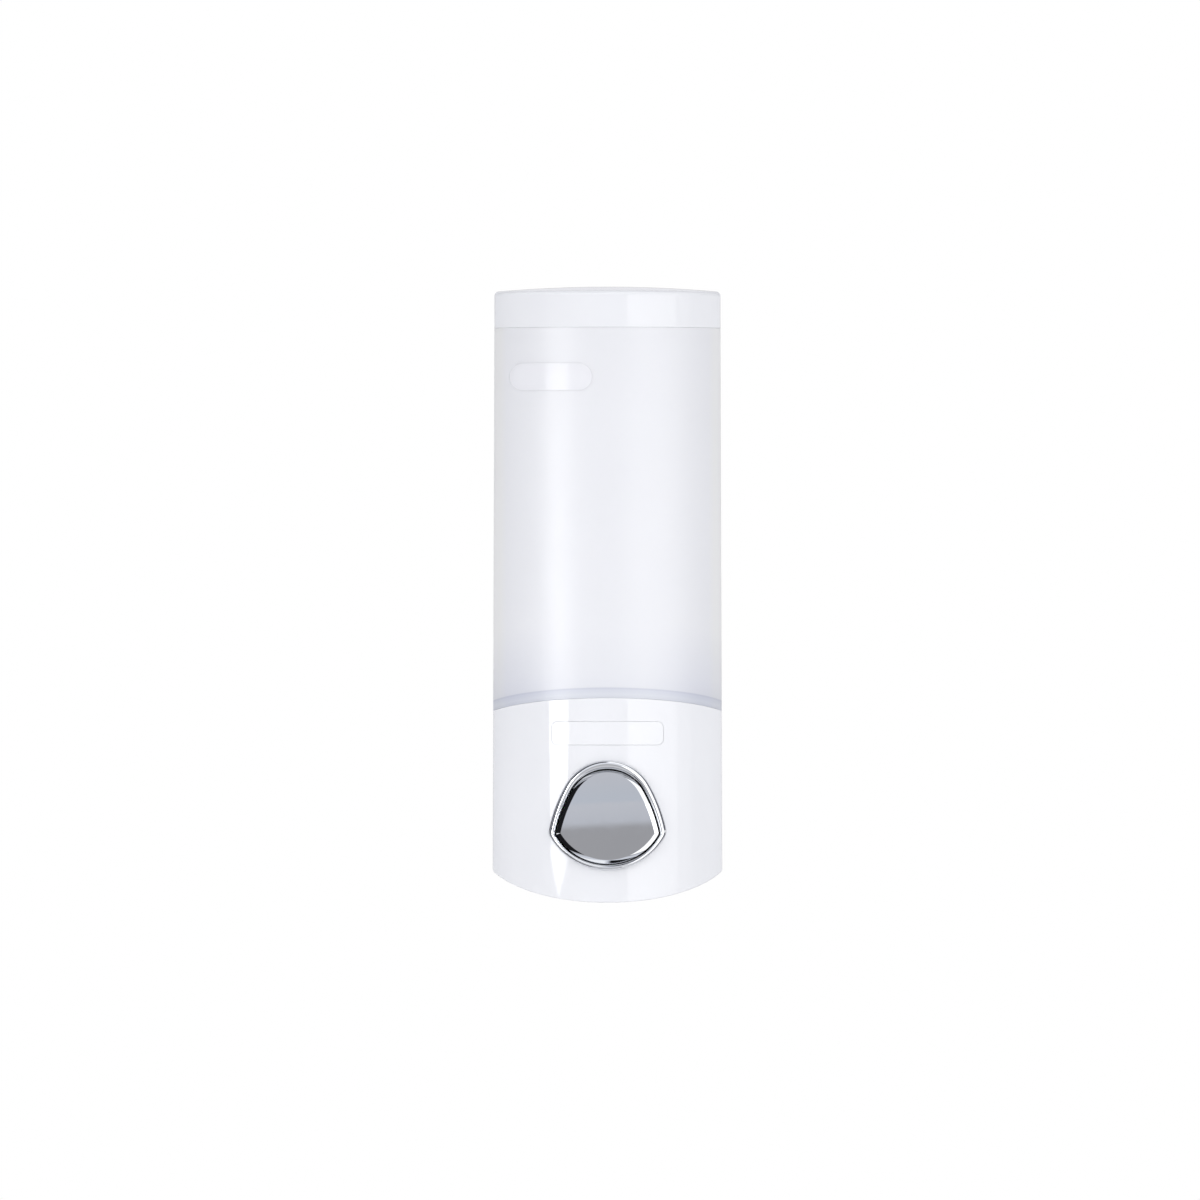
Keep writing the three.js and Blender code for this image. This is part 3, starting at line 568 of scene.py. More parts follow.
def make_lid():
    back = LID_HIGH.y
    wall, fan = 2.0, 20                         # the roof closes towards its middle from the fan's inset
    edge = 1.3                                  # radius between side and top
    rim = LID_HIGH.z - CROWN_RISE
    roof = LID_HIGH.z - 4.4
    groove = roof - 0.4                         # the roof's height between the plug ring and the wall
    plug_in, plug_out, plug_z = 4.15, 2.55, LID_LOW.z
    seam = TANK_HIGH.z + SEAM_GAP
    inside = rounded_profile([
        (fan, roof, 0, 0),
        (plug_in, roof, 0.8, 0),
        (plug_in, plug_z, 0.5, 0),
        (plug_out, plug_z, 0.6, 0),
        (plug_out, groove, 0, 0),
    ])
    outside = rounded_profile([
        (wall, groove, 0, 0, back),
        (wall, seam, 0.1, 0, back),
        (0, seam, SEAM_EDGE, 0, back),
        (0, rim - edge, 0, 0, back),
    ])
    rows = [d_ring(*point) for point in inside + outside]
    steps = 8
    for step in range(1, steps + 1):
        angle = math.pi / 2 * step / steps
        inset = edge * (1 - math.cos(angle))
        row = []
        for x, y in d_outline(inset, back):
            top = crown_z(x, y)
            row.append((x, y, top - edge * (1 - math.sin(angle))))
        rows.append(row)
    rows += crown_rows(edge, back, [0.97, 0.9, 0.8, 0.68, 0.54, 0.4, 0.25, 0.1])
    lid = closed_shell("lid_cover", rows)
    even_normals(lid)
    place(lid, "lid", white_gloss, "lid")


# ---------------------------------------------------------------- tank

TANK_SCREW = centre_mm("tank_screw_right")
HOUSING_SCREW = centre_mm("housing_screw_right")
PUMP_SCREW = centre_mm("pump_screw_right")


def rear_bosses(screw):
    """Bosses for a pair of screws on a back wall, and their blind holes, as rows for rods()."""
    outside, inside = 4.0, 4.8                  # radii behind the wall and in front of it
    outside_back, inside_front = FRAME_LOW.y + 2.8, -17.0
    hole_front = box_mm("tank_screw_right")[0].y - 0.6
    bosses, holes = [], []
    for x in (-screw.x, screw.x):
        axis = (x, 0, screw.z)
        bosses.append((outside, TANK_BACK - PAST, outside_back, axis, "Y"))
        bosses.append((inside, inside_front, TANK_BACK - 0.5, axis, "Y"))
        holes.append((SCREW_HOLE, hole_front, 0, axis, "Y"))
    return bosses, holes


def on_front(outline, depth_front, depth_back, name):
    """A plate that follows the round front between two depths under its surface."""
    margin, steps = 2, 64
    cutter = prisms(name, [(outline, FRONT_Y - 5, FRONT_CENTRE_Y)])
    x_low, x_high = min(x for x, _ in outline) - margin, max(x for x, _ in outline) + margin
    z_low, z_high = min(z for _, z in outline) - margin, max(z for _, z in outline) + margin
    rows = []
    for depth, z in (
        (depth_front, z_low), (depth_front, z_high), (depth_back, z_high), (depth_back, z_low),
    ):
        row = []
        for i in range(steps + 1):
            x = x_low + (x_high - x_low) * i / steps
            y = FRONT_CENTRE_Y - math.sqrt((FRONT_RADIUS - depth) ** 2 - (x / draft(z)) ** 2)
            row.append((x, y, z))
        rows.append(row)
    bm = bmesh.new()
    add_grid(bm, rows + rows[:1], closed=False)
    bmesh.ops.remove_doubles(bm, verts=bm.verts, dist=1e-5)
    bmesh.ops.holes_fill(bm, edges=bm.edges)
    slab = new_object(name + "_slab", bm)
    combine(slab, cutter, "INTERSECT")
    slab.name = name
    return slab


def grown_box(node, grow):
    """The middle of a node's box seen from the front, and its half sizes grown."""
    low, high = box_mm(node)
    middle = (low + high) / 2
    return middle.x, middle.z, (high.x - low.x) / 2 + grow, (high.z - low.z) / 2 + grow


def badge_outline(grow):
    """A pill."""
    x, z, half_width, half_height = grown_box("tank_badge", grow)
    return rounded_rectangle(x, z, half_width, half_height, half_height - 0.05, 14)


def label_outline(grow):
    return rounded_rectangle(*grown_box("label_plate", grow), 2 + grow, 10)


def make_tank():
    top = TANK_HIGH.z
    wall, floor = 2.2, 3.2
    skirt_out, skirt_in, skirt_z = 2.8, 4.6, SEAM_Z - 5
    tank = d_solid("tank_shell", [
        (FAN_INSET, SEAM_Z + floor, 0, SEAM_SLOPE),
        (wall, SEAM_Z + floor, 1.2, SEAM_SLOPE),
        (wall, top, 0.6, 0),
        (0, top, SEAM_EDGE, 0),
        (0, SEAM_Z, SEAM_EDGE, SEAM_SLOPE),
        (skirt_out, SEAM_Z, 0, SEAM_SLOPE),
        (skirt_out, skirt_z, 0.4, SEAM_SLOPE),
        (skirt_in, skirt_z, 0.4, SEAM_SLOPE),
        (skirt_in, SEAM_Z, 0, SEAM_SLOPE),
        (FAN_INSET, SEAM_Z, 0, SEAM_SLOPE),
    ])
    bosses, holes = rear_bosses(TANK_SCREW)
    spigot, bore = 6.0, 3.5                     # radii
    spigot_z = box_mm("tank")[0].z
    spigot_top = -40
    bosses.append((spigot, spigot_z, spigot_top, SOAP_WAY, "Z"))
    holes.append((bore, spigot_z - PAST, spigot_top + 10, SOAP_WAY, "Z"))
    combine(tank, rods("spigot", bosses), "UNION")
    combine(tank, rods("bores", holes), "DIFFERENCE")
    combine(tank, on_front(badge_outline(0.08), OUTSIDE, 0.4, "badge_pocket"), "DIFFERENCE")
    even_normals(tank)
    place(tank, "dispenser", frosted, "tank")


def make_badge():
    rim = 0.7
    badge = on_front(badge_outline(0.04), -0.12, 0.3, "badge_plate")
    well = on_front(badge_outline(-rim), OUTSIDE, -0.04, "badge_well")
    combine(badge, well, "DIFFERENCE")
    bevel(badge, 0.1, 3, 40)
    even_normals(badge)
    place(badge, "dispenser", clear, "tank_badge")


# ---------------------------------------------------------------- housing

def make_housing():
    wall, floor = 2.4, 2.0
    top = SEAM_Z - SEAM_GAP
    housing = d_solid("housing_shell", [
        (FAN_INSET, BOTTOM_Z + floor, 0, BOTTOM_SLOPE),
        (wall, BOTTOM_Z + floor, 0.8, BOTTOM_SLOPE),
        (wall, top, 0.3, SEAM_SLOPE),
        (0, top, SEAM_EDGE, SEAM_SLOPE),
        (0, BOTTOM_Z, 0.5, BOTTOM_SLOPE),
        (FAN_INSET, BOTTOM_Z, 0, BOTTOM_SLOPE),
    ])
    bosses, holes = rear_bosses(HOUSING_SCREW)
    boss, boss_front, boss_back = 3.6, -53.5, PUMP["flange_front"] - GAP
    for x in (-PUMP_SCREW.x, PUMP_SCREW.x):
        axis = (x, 0, PUMP_SCREW.z)
        bosses.append((boss, boss_front, boss_back, axis, "Y"))
        holes.append((SCREW_HOLE, box_mm("pump_screw_right")[0].y - PAST, boss_back + PAST, axis, "Y"))
    nozzle_hole, nozzle_hole_top, opening_back = 8.6, -78, -50
    holes.append((nozzle_hole, BOTTOM_Z - 8, nozzle_hole_top, SOAP_WAY, "Z"))
    opening = (button_outline(SLEEVE + GAP), FRONT_Y - PAST, opening_back)
    combine(housing, rods("bosses", bosses), "UNION")
    combine(housing, rods("bores", holes), "DIFFERENCE")
    combine(housing, prisms("opening", [opening]), "DIFFERENCE")
    combine(housing, on_front(label_outline(0.07), OUTSIDE, 0.7, "label_pocket"), "DIFFERENCE")
    even_normals(housing)
    place(housing, "dispenser", white_gloss, "housing")


def make_label():
    label = on_front(label_outline(0), 0.0, 0.6, "label_inlay")
    bevel(label, 0.06, 2, 40)
    even_normals(label)
    place(label, "dispenser", white_label, "label_plate")


# ---------------------------------------------------------------- button and bezel

APEX = (0.0, -71.6, 13.3)                   # x, z and radius of the arcs of the button's outline
CORNER = (15.7, -79.2, 1.2)
FOOT = (0.0, -70.0, 19.4)
SIDE_RADIUS = 49.0
SLEEVE = 1.3                                # the bezel's sleeve, from that outline


def circles_meet(first, first_radius, second, second_radius):
    """Where two circles meet, on the right-hand side of the way from the first to the second."""
    line = Vector(second[:2]) - Vector(first[:2])
    distance = line.length
    along = (first_radius ** 2 - second_radius ** 2 + distance ** 2) / (2 * distance)
    across = math.sqrt(first_radius ** 2 - along ** 2)
    unit = line / distance
    return Vector(first[:2]) + unit * along + Vector((unit.y, -unit.x)) * across


SIDE = circles_meet(APEX, SIDE_RADIUS - APEX[2], CORNER, SIDE_RADIUS - CORNER[2])


def bearing(start, end):
    return math.atan2(end[1] - start[1], end[0] - start[0])


def button_outline(offset):
    """The outline moved out by an offset; moved in past the corner's radius, its corners are sharp."""
    side, foot = SIDE_RADIUS + offset, FOOT[2] + offset
    corner_radius = max(0.0, CORNER[2] + offset)
    corner = CORNER if corner_radius else circles_meet(SIDE, side, FOOT, foot)
    to_apex, to_corner = bearing(SIDE, APEX), bearing(SIDE, corner)
    foot_angle = bearing(FOOT, corner)
    half = math.pi
    arcs = (
        (FOOT[0], FOOT[1], foot, -half - foot_angle, foot_angle, 56),
        (corner[0], corner[1], corner_radius, foot_angle, to_corner, 16),
        (SIDE.x, SIDE.y, side, to_corner, to_apex, 28),
        (APEX[0], APEX[1], APEX[2] + offset, to_apex, half - to_apex, 44),
        (-SIDE.x, SIDE.y, side, half - to_apex, half - to_corner, 28),
        (-corner[0], corner[1], corner_radius, half - to_corner, half - foot_angle, 16),
    )
    return [point for *arc, steps in arcs for point in arc_points(*arc, steps)[:-1]]


def surface_y(x, z):
    return FRONT_CENTRE_Y - math.sqrt(FRONT_RADIUS ** 2 - (x / draft(z)) ** 2)


def rim_rows(profile):
    """Rows round the button's outline from (offset, y, on_surface, lift) points."""
    rows = []
    for offset, y, on_surface, lift in profile:
        rows.append([
            (x, y + (surface_y(x, z + lift) if on_surface else 0), z + lift)
            for x, z in button_outline(offset)
        ])
    return rows


def make_bezel():
    inner, outer, outer_lift, height = 0.4, 2.7, 0.6, 1.8
    middle, half = (inner + outer) / 2, (outer - inner) / 2
    back = box_mm("bezel")[1].y
    foot = -0.1                                 # the bead's foot is a little in front of the housing
    steps = 24
    profile = [(inner, back, False, 0), (SLEEVE, back, False, 0), (SLEEVE, foot, True, 0)]
    for step in range(steps + 1):
        angle = math.pi * step / steps
        across = math.cos(angle)
        depth = foot - (height + foot) * math.sin(angle)
        profile.append((middle + half * across, depth, True, outer_lift * (1 + across) / 2))
    bm = bmesh.new()
    add_grid(bm, rim_rows(profile + profile[:1]))
    bezel = new_object("bezel_ring", bm)
    even_normals(bezel)
    place(bezel, "dispenser", chrome, "bezel")


def face_y(x, z, face):
    """The cap's face, a little domed, more so from top to bottom than from side to side."""
    upright_radius, level_radius = 420, 1200
    return face + (z - PUMP_Z) ** 2 / (2 * upright_radius) + x ** 2 / (2 * level_radius)


def make_button_cap():
    """A hollow chrome cap with a polished bevel, which is narrower at the top."""
    low, high = box_mm("button_cap")
    face, back = low.y, high.y
    wall, edge = 1.6, 0.9
    bevel_width, bevel_depth, top_lift, lift_power = 1.3, 0.85, 0.8, 6
    middle = (low.z + high.z) / 2
    half_height = (high.z - low.z) / 2
    rows = rim_rows([
        (-wall, face + 2 * wall, False, 0),
        (-wall, back, False, 0),
        (0, back, False, 0),
        (0, face + bevel_depth + edge, False, 0),
    ])
    steps = 6
    for step in range(steps + 1):
        share = step / steps
        row = []
        for x, z in button_outline(-bevel_width * share):
            height = z + top_lift * share * max(0, (z - middle) / half_height) ** lift_power
            row.append((x, face_y(x, height, face) + bevel_depth * (1 - share), height))
        rows.append(row)
    outermost = rows[-1]
    for share in (0.99, 0.95, 0.88, 0.78, 0.66, 0.53, 0.4, 0.27, 0.13):
        row = []
        for x, _, z in outermost:
            px, pz = share * x, PUMP_Z + share * (z - PUMP_Z)
            row.append((px, face_y(px, pz, face), pz))
        rows.append(row)
    cap = closed_shell("button_face", rows, 14)
    place(cap, "button", chrome, "button_cap")


def make_carrier():
    low, high = box_mm("button_carrier")
    plug, wall, flange, fan = -1.9, 2.0, 1.2, -12   # offsets from the button's outline
    hub, socket, socket_front = 5.5, 3.8, -63
    shoulder = high.y - 2
    profile = rounded_profile([
        (fan, high.y, 0),
        (flange, high.y, 0.3),
        (flange, shoulder, 0.3),
        (plug, shoulder, 0),
        (plug, low.y, 0.3),
        (plug - wall, low.y, 0.3),
        (plug - wall, shoulder, 0.4),
        (fan, shoulder, 0),
    ])
    carrier = closed_shell("carrier_plate", rim_rows([(offset, y, False, 0) for offset, y in profile]))
    hub_rod = (hub, low.y, high.y - 1, PUMP_AXIS, "Y")
    socket_rod = (socket, socket_front, high.y + PAST, PUMP_AXIS, "Y")
    combine(carrier, rods("hub", [hub_rod]), "UNION")
    combine(carrier, rods("socket", [socket_rod]), "DIFFERENCE")
    bevel(carrier, 0.2)
    even_normals(carrier)
    place(carrier, "button", natural_white, "button_carrier")


# ---------------------------------------------------------------- frame and wall bracket

HOOK_X, HOOK_HALF_WIDTH = 16, 4
HOOK_ARM, HOOK_RISE, HOOK_DROP = 4, 10, 9   # height of the arm, of its lip, and of the way down to it
HOOK_BASES = (46, -44)


def tray(width, low_lift, high, front, back):
    """A block as wide as the drafted sides, from the slanted bottom edge up to a height."""
    bm = bmesh.new()
    rows = []
    for x_share, is_top in ((-1, False), (-1, True), (1, True), (1, False)):
        row = []
        for y in (front, back):
            z = high if is_top else BOTTOM_Z + low_lift + BOTTOM_SLOPE * (y - FRONT_Y)
            row.append(bm.verts.new((x_share * width * draft(z), y, z)))
        rows.append(row)
    for row, after in zip(rows, rows[1:] + rows[:1]):
        bm.faces.new((row[0], after[0], after[1], row[1]))
    bm.faces.new([row[0] for row in rows])
    bm.faces.new([row[1] for row in rows])
    return new_object("tray", bm)


def make_frame():
    """A tray with a plate across its depth, which the hooks' windows and the screws go through."""
    rim, plate_front, plate_back = 2.2, -6.0, -3.6
    half, inner = HALF_WIDTH, HALF_WIDTH - rim
    top, roof = FRAME_HIGH.z, FRAME_HIGH.z - rim
    body = tray(half, 0, top, FRAME_LOW.y, FRAME_HIGH.y)
    body.name = "back_frame_tray"
    combine(body, tray(inner, rim, roof, FRAME_LOW.y - PAST, plate_front), "DIFFERENCE")
    combine(body, tray(inner, rim, roof, plate_back, FRAME_HIGH.y + PAST), "DIFFERENCE")
    rib_x, rib_z, rib_half_width, rib_half_height, rib_depth = 6, 8, 0.7, 78, 1.6
    ribs = []
    for x in (-rib_x, rib_x):
        rib = rounded_rectangle(x, rib_z, rib_half_width, rib_half_height, 0.3, 2)
        ribs.append((rib, plate_front - rib_depth, plate_front + 0.5))
    combine(body, prisms("ribs", ribs), "UNION")
    windows = []
    for base in HOOK_BASES:
        low, high = base - HOOK_DROP, base + HOOK_ARM + GAP
        for x in (-HOOK_X, HOOK_X):
            window = rounded_rectangle(x, (low + high) / 2, HOOK_HALF_WIDTH + 1, (high - low) / 2, 0.8, 4)
            windows.append((window, plate_front - PAST, plate_back + PAST))
    combine(body, prisms("windows", windows), "DIFFERENCE")
    holes = [
        (SCREW_HOLE, plate_front - 2, 0, (side * screw.x, 0, screw.z), "Y")
        for screw in (TANK_SCREW, HOUSING_SCREW) for side in (-1, 1)
    ]
    combine(body, rods("screw_holes", holes), "DIFFERENCE")
    bevel(body, 0.35, 3)
    even_normals(body)
    place(body, "dispenser", frame_white, "back_frame")


def make_wall_plate():
    """A plate with four hooks, recesses for the pads, a countersunk hole and a slot for the wall screws."""
    low, high = box_mm("wall_plate")
    thickness, corner, lip_thickness = 3.0, 6.0, 1.8
    middle, half_height = (low.z + high.z) / 2, (high.z - low.z) / 2
    outline = rounded_rectangle(0, middle, high.x, half_height, corner, 12)
    plate = prisms("wall_bracket_plate", [(outline, -thickness, 0)])

    def block(x, base, height):
        left, right = x - HOOK_HALF_WIDTH, x + HOOK_HALF_WIDTH
        return [(left, base), (right, base), (right, base + height), (left, base + height)]

    for base in HOOK_BASES:
        for x in (-HOOK_X, HOOK_X):
            arm = (block(x, base, HOOK_ARM), low.y + 0.5, -thickness / 2)
            lip = (block(x, base, HOOK_RISE), low.y, low.y + lip_thickness)
            for row in (arm, lip):
                combine(plate, prisms("hook", [row]), "UNION")
    room, recess_depth = 0.5, 1.2
    recesses = []
    for node in ("foam_pad_upper", "foam_pad_lower"):
        recess = rounded_rectangle(*grown_box(node, room), 3 + room)
        recesses.append((recess, -recess_depth, PAST))
    combine(plate, prisms("recesses", recesses), "DIFFERENCE")
    hole, sink, sink_depth, screw_z, slot_z, slot_half = 2.4, 4.5, 1.9, 66, -55, 4
    countersink = bmesh.new()
    add_turned(countersink, [
        (0, -thickness - PAST), (sink, -thickness - PAST), (sink, -thickness),
        (hole, sink_depth - thickness), (hole, PAST), (0, PAST),
    ], (0, 0, screw_z), "Y", 48)
    combine(plate, new_object("countersink", countersink), "DIFFERENCE")
    slot = rounded_rectangle(0, slot_z, slot_half + hole, hole, hole - 0.01, 10)
    combine(plate, prisms("slot", [(slot, -thickness - PAST, PAST)]), "DIFFERENCE")
    bevel(plate, 0.3, 3)
    even_normals(plate)
    place(plate, "wall_bracket", natural_white, "wall_plate")


def make_pad(node):
    """An adhesive foam pad: a soft slab whose edge bulges a little between its faces."""
    low, high = box_mm(node)
    corner = 3
    rows = []
    for y, inset in (
        (low.y, 0.5), (low.y + 0.05, 0.2), (low.y + 0.3, 0.02),
        (high.y - 0.3, 0.0), (high.y - 0.05, 0.2), (high.y, 0.5),
    ):
        outline = rounded_rectangle(*grown_box(node, -inset), corner - inset)
        rows.append([(x, y, z) for x, z in outline])
    pad = closed_shell(node + "_slab", rows)
    even_normals(pad)
    place(pad, "wall_bracket", foam_grey, node)


# ---------------------------------------------------------------- screws and springs

def make_screw(node, body="dispenser"):
    """A thread-forming screw along Y, cross-slotted, its head towards the wall."""
    low, high = box_mm(node)
    middle = (low + high) / 2
    head, shank, thread = (high.x - low.x) / 2, 1.15, 1.45
    head_height, point, taper, pitch, crest = 2.1, 0.35, 1.6, 1.0, 0.2
    seat = high.y - head_height
    corners = [(0, low.y, 0), (point, low.y, 0.1), (shank, low.y + taper, 0)]
    ridge = low.y + taper + pitch / 2
    while ridge < seat - taper + pitch / 2:
        corners += [(shank, ridge - crest, 0), (thread, ridge, 0), (shank, ridge + crest, 0)]
        ridge += pitch
    corners += [
        (shank, seat, 0.15),
        (head, seat, 0.15),
        (head, seat + head_height * 0.45, 0.3),
        (head * 0.8, high.y, 0.5),
        (0, high.y, 0),
    ]
    screw = turned(node + "_body", corners, (middle.x, 0, middle.z), "Y", 40)
    arm, half, drive_depth = head * 0.62, 0.42, 1.0
    for width, height in ((arm, half), (half, arm)):
        slot = [
            (middle.x + side * width, middle.z + end * height)
            for side, end in ((-1, -1), (1, -1), (1, 1), (-1, 1))
        ]
        combine(screw, prisms("drive", [(slot, high.y - drive_depth, high.y + PAST)]), "DIFFERENCE")
    bevel(screw, 0.06, 2, 60)
    even_normals(screw)
    place(screw, body, screw_steel, node)


def coil_spring(name, centre, axis, low, high, radius, wire, turns, dead_turns=1.0):
    """A compression spring with closed ends, as a tube along its helix."""
    steps_per_turn, sides, wire_gap = 40, 14, 1.02
    steps = round(turns * steps_per_turn)
    path = []
    free = turns - 2 * dead_turns
    closed = 2 * wire * dead_turns * wire_gap
    for i in range(steps + 1):
        turn = turns * i / steps
        if turn < dead_turns:
            height = low + wire + closed * turn / dead_turns
        elif turn > turns - dead_turns:
            height = high - wire - closed * (turns - turn) / dead_turns
        else:
            share = (turn - dead_turns) / free
            height = low + wire + closed + (high - low - 2 * wire - 2 * closed) * share
        angle = 2 * math.pi * turn
        u, v = radius * math.cos(angle), radius * math.sin(angle)
        path.append(Vector((u, height, v) if axis == "Y" else (u, v, height)) + Vector(centre))
    main = Vector((0, 1, 0)) if axis == "Y" else Vector((0, 0, 1))
    rows = []
    for i, point in enumerate(path):
        ahead = (path[min(i + 1, steps)] - path[max(i - 1, 0)]).normalized()
        side = ahead.cross(main).normalized()
        up = side.cross(ahead).normalized()
        ring = [2 * math.pi * k / sides for k in range(sides)]
        rows.append([point + wire * (side * math.cos(a) + up * math.sin(a)) for a in ring])
    return closed_shell(name, rows, 60)


def make_springs():
    low, high = box_mm("return_spring")
    wire = 0.6
    radius = (high.x - low.x) / 2 - wire
    spring = coil_spring("return_coil", PUMP_AXIS, "Y", low.y, high.y, radius, wire, 7)
    place(spring, "dispenser", spring_steel, "return_spring")
    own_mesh(spring)
    low, high = box_mm("outlet_spring")
    wire = 0.28
    radius = (high.x - low.x) / 2 - 0.35
    spring = coil_spring("outlet_coil", SOAP_WAY, "Z", low.z, high.z, radius, wire, 6)
    place(spring, "dispenser", spring_steel, "outlet_spring")
    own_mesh(spring)


# ---------------------------------------------------------------- pump

PUMP = {
    "bore": 7, "outer": 8.6, "disc": 13.2, "mouth": -43.9, "bore_end": -21, "back": -19,
    "flange_front": -33, "flange_back": -30.6, "ear_half_width": 28.5, "ear_half_height": 4.5,
}
INLET = {
    "tube": 7, "chamber": 5, "port": 2.5, "stem_hole": 1.3, "flow_hole": 1.1, "flow_hole_reach": 3.1,
    "cup_outer": 10, "cup_inner": 7.8, "cup_top": -47, "cup_floor": -57,
    "web_top": -58.4, "web": -60, "chamber_floor": -63.8,
}
OUTLET = {"tube": 6, "chamber": 3.2, "port": 2, "seat": -82, "end": -88.5}


def make_pump_body():
    """A cylinder along Y with a flange, an inlet tube with a cup above it and an outlet tube below."""
    barrel = turned("pump_barrel", [
        (0, PUMP["mouth"], 0), (PUMP["outer"], PUMP["mouth"], 0.4),
        (PUMP["outer"], PUMP["back"], 0.8), (0, PUMP["back"], 0),
    ], PUMP_AXIS, "Y", 72)
    flange = (PUMP["flange_front"], PUMP["flange_back"])
    ears = rounded_rectangle(0, PUMP_SCREW.z, PUMP["ear_half_width"], PUMP["ear_half_height"], 2.5)
    combine(barrel, rods("disc", [(PUMP["disc"], *flange, PUMP_AXIS, "Y")], 72), "UNION")
    combine(barrel, prisms("ears", [(ears, *flange)]), "UNION")
    inlet_tubes = [
        (INLET["tube"], PUMP_Z, INLET["cup_floor"] - 1, SOAP_WAY, "Z"),
        (INLET["cup_outer"], INLET["cup_floor"] - 2, INLET["cup_top"], SOAP_WAY, "Z"),
    ]
    outlet_tube = (OUTLET["tube"], OUTLET["end"], PUMP_Z, SOAP_WAY, "Z")
    combine(barrel, rods("inlet", inlet_tubes, 64), "UNION")
    combine(barrel, rods("outlet", [outlet_tube], 64), "UNION")
    free = 7                                    # how far a cutter goes on into open space
    web = (INLET["web"] - PAST, INLET["cup_floor"] + free)
    bores = [
        (PUMP["bore"], PUMP["mouth"] - PAST, PUMP["bore_end"], PUMP_AXIS, "Y"),
        (INLET["cup_inner"], INLET["cup_floor"], INLET["cup_top"] + free, SOAP_WAY, "Z"),
        (INLET["chamber"], INLET["web_top"], INLET["cup_floor"] + free, SOAP_WAY, "Z"),
        (INLET["chamber"], INLET["chamber_floor"], INLET["web"], SOAP_WAY, "Z"),
        (INLET["port"], PUMP_Z, INLET["chamber_floor"] + PAST, SOAP_WAY, "Z"),
        (INLET["stem_hole"], *web, SOAP_WAY, "Z"),
        (OUTLET["port"], OUTLET["seat"] - PAST, PUMP_Z, SOAP_WAY, "Z"),
        (OUTLET["chamber"], OUTLET["end"] - PAST, OUTLET["seat"], SOAP_WAY, "Z"),
    ]
    for reach in (-INLET["flow_hole_reach"], INLET["flow_hole_reach"]):
        bores.append((INLET["flow_hole"], *web, (0, OUTLET_Y + reach, 0), "Z"))
    for x in (-PUMP_SCREW.x, PUMP_SCREW.x):
        bores.append((SCREW_HOLE, flange[0] - free, 0, (x, 0, PUMP_SCREW.z), "Y"))
    for bore in bores:
        combine(barrel, rods("bore", [bore], 40), "DIFFERENCE")
    bevel(barrel, 0.2)
    even_normals(barrel)
    place(barrel, "dispenser", natural_white, "pump_body")


def make_collar():
    """A cap over the cylinder's mouth, with a hole for the piston's stem."""
    low, high = box_mm("pump_collar")
    hole, inner, outer = 3.9, 8.9, high.x
    front, back, skirt = low.y, low.y + 2, high.y
    middle = (front + back) / 2
    collar = turned("pump_collar_cap", [
        (hole, middle, 0), (hole, front, 0.25), (outer, front, 0.5), (outer, skirt, 0.3),
        (inner, skirt, 0.3), (inner, back, 0.3), (hole, back, 0.25), (hole, middle, 0),
    ], PUMP_AXIS, "Y")
    place(collar, "dispenser", natural_white, "pump_collar")


def make_piston():
    """A stem, and a head with a groove for the ring seal."""
    low, high = box_mm("pump_piston")
    head, stem, groove = high.x, 3.5, 5.0       # radii
    head_front, groove_half = high.y - 6, 1.0
    middle = (head_front + high.y) / 2
    groove_front, groove_back = middle - groove_half, middle + groove_half
    piston = turned("piston_body", [
        (0, low.y, 0), (stem, low.y, 0.6), (stem, head_front, 0.3), (head, head_front, 0.3),
        (head, groove_front, 0.15), (groove, groove_front, 0.15), (groove, groove_back, 0.15),
        (head, groove_back, 0.15), (head, high.y, 0.3), (0, high.y, 0),
    ], PUMP_AXIS, "Y")
    place(piston, "button", natural_white, "pump_piston")


def make_piston_seal():
    low, high = box_mm("piston_seal")
    radius, middle = (high.y - low.y) / 2, (high.y + low.y) / 2
    ring = arc_points(high.x - radius, middle, radius, 0, 2 * math.pi, 20)
    seal = turned("piston_ring", [(*point, 0) for point in ring], PUMP_AXIS, "Y")
    place(seal, "button", black_rubber, "piston_seal")


def make_tank_seal():
    """A rubber ring round the spigot, with two shallow grooves outside."""
    low, high = box_mm("tank_seal")
    outer, inner = high.x, high.x - 1.2
    groove_depth, groove_half = 0.3, 0.4
    start = (inner, high.z - 4, 0)
    corners = [start, (inner, high.z, 0.3), (outer, high.z, 0.3)]
    for groove in (high.z - 2.4, high.z - 5.4):
        corners += [
            (outer, groove + groove_half, 0.1),
            (outer - groove_depth, groove, 0.1),
            (outer, groove - groove_half, 0.1),
        ]
    corners += [(outer, low.z, 0.3), (inner, low.z, 0.3), start]
    seal = turned("spigot_seal", corners, SOAP_WAY, "Z")
    place(seal, "dispenser", black_rubber, "tank_seal")


def make_inlet_valve():
    """An umbrella valve: a flap under the web, held by a stem with a bulb above it."""
    low, high = box_mm("inlet_valve")
    flap, middle, stem, bulb, bulb_top = high.x, 2.4, 0.95, 1.8, 1.5    # radii
    flap_top = low.z + 0.9
    flap_edge, bulb_low, shoulder = flap_top - 0.35, high.z - 1.1, high.z - 0.2
    valve = turned("umbrella_valve", [
        (0, low.z, 0), (middle, low.z, 0.4), (flap, flap_edge, 0.1), (flap, flap_top, 0.1),
        (stem, flap_top, 0.15), (stem, bulb_low, 0.1), (bulb, bulb_low, 0.2), (bulb_top, shoulder, 0.4),
        (0, high.z, 0),
    ], SOAP_WAY, "Z", 48)
    place(valve, "dispenser", silicone, "inlet_valve")


def make_outlet_ball():
    low, high = box_mm("outlet_ball")
    radius, middle = (high.z - low.z) / 2, (high.z + low.z) / 2
    half_circle = arc_points(0, middle, radius, -math.pi / 2, math.pi / 2, 24)
    ball = turned("valve_ball", [(*point, 0) for point in half_circle], SOAP_WAY, "Z", 48)
    place(ball, "outlet_ball", ball_steel, "outlet_ball")


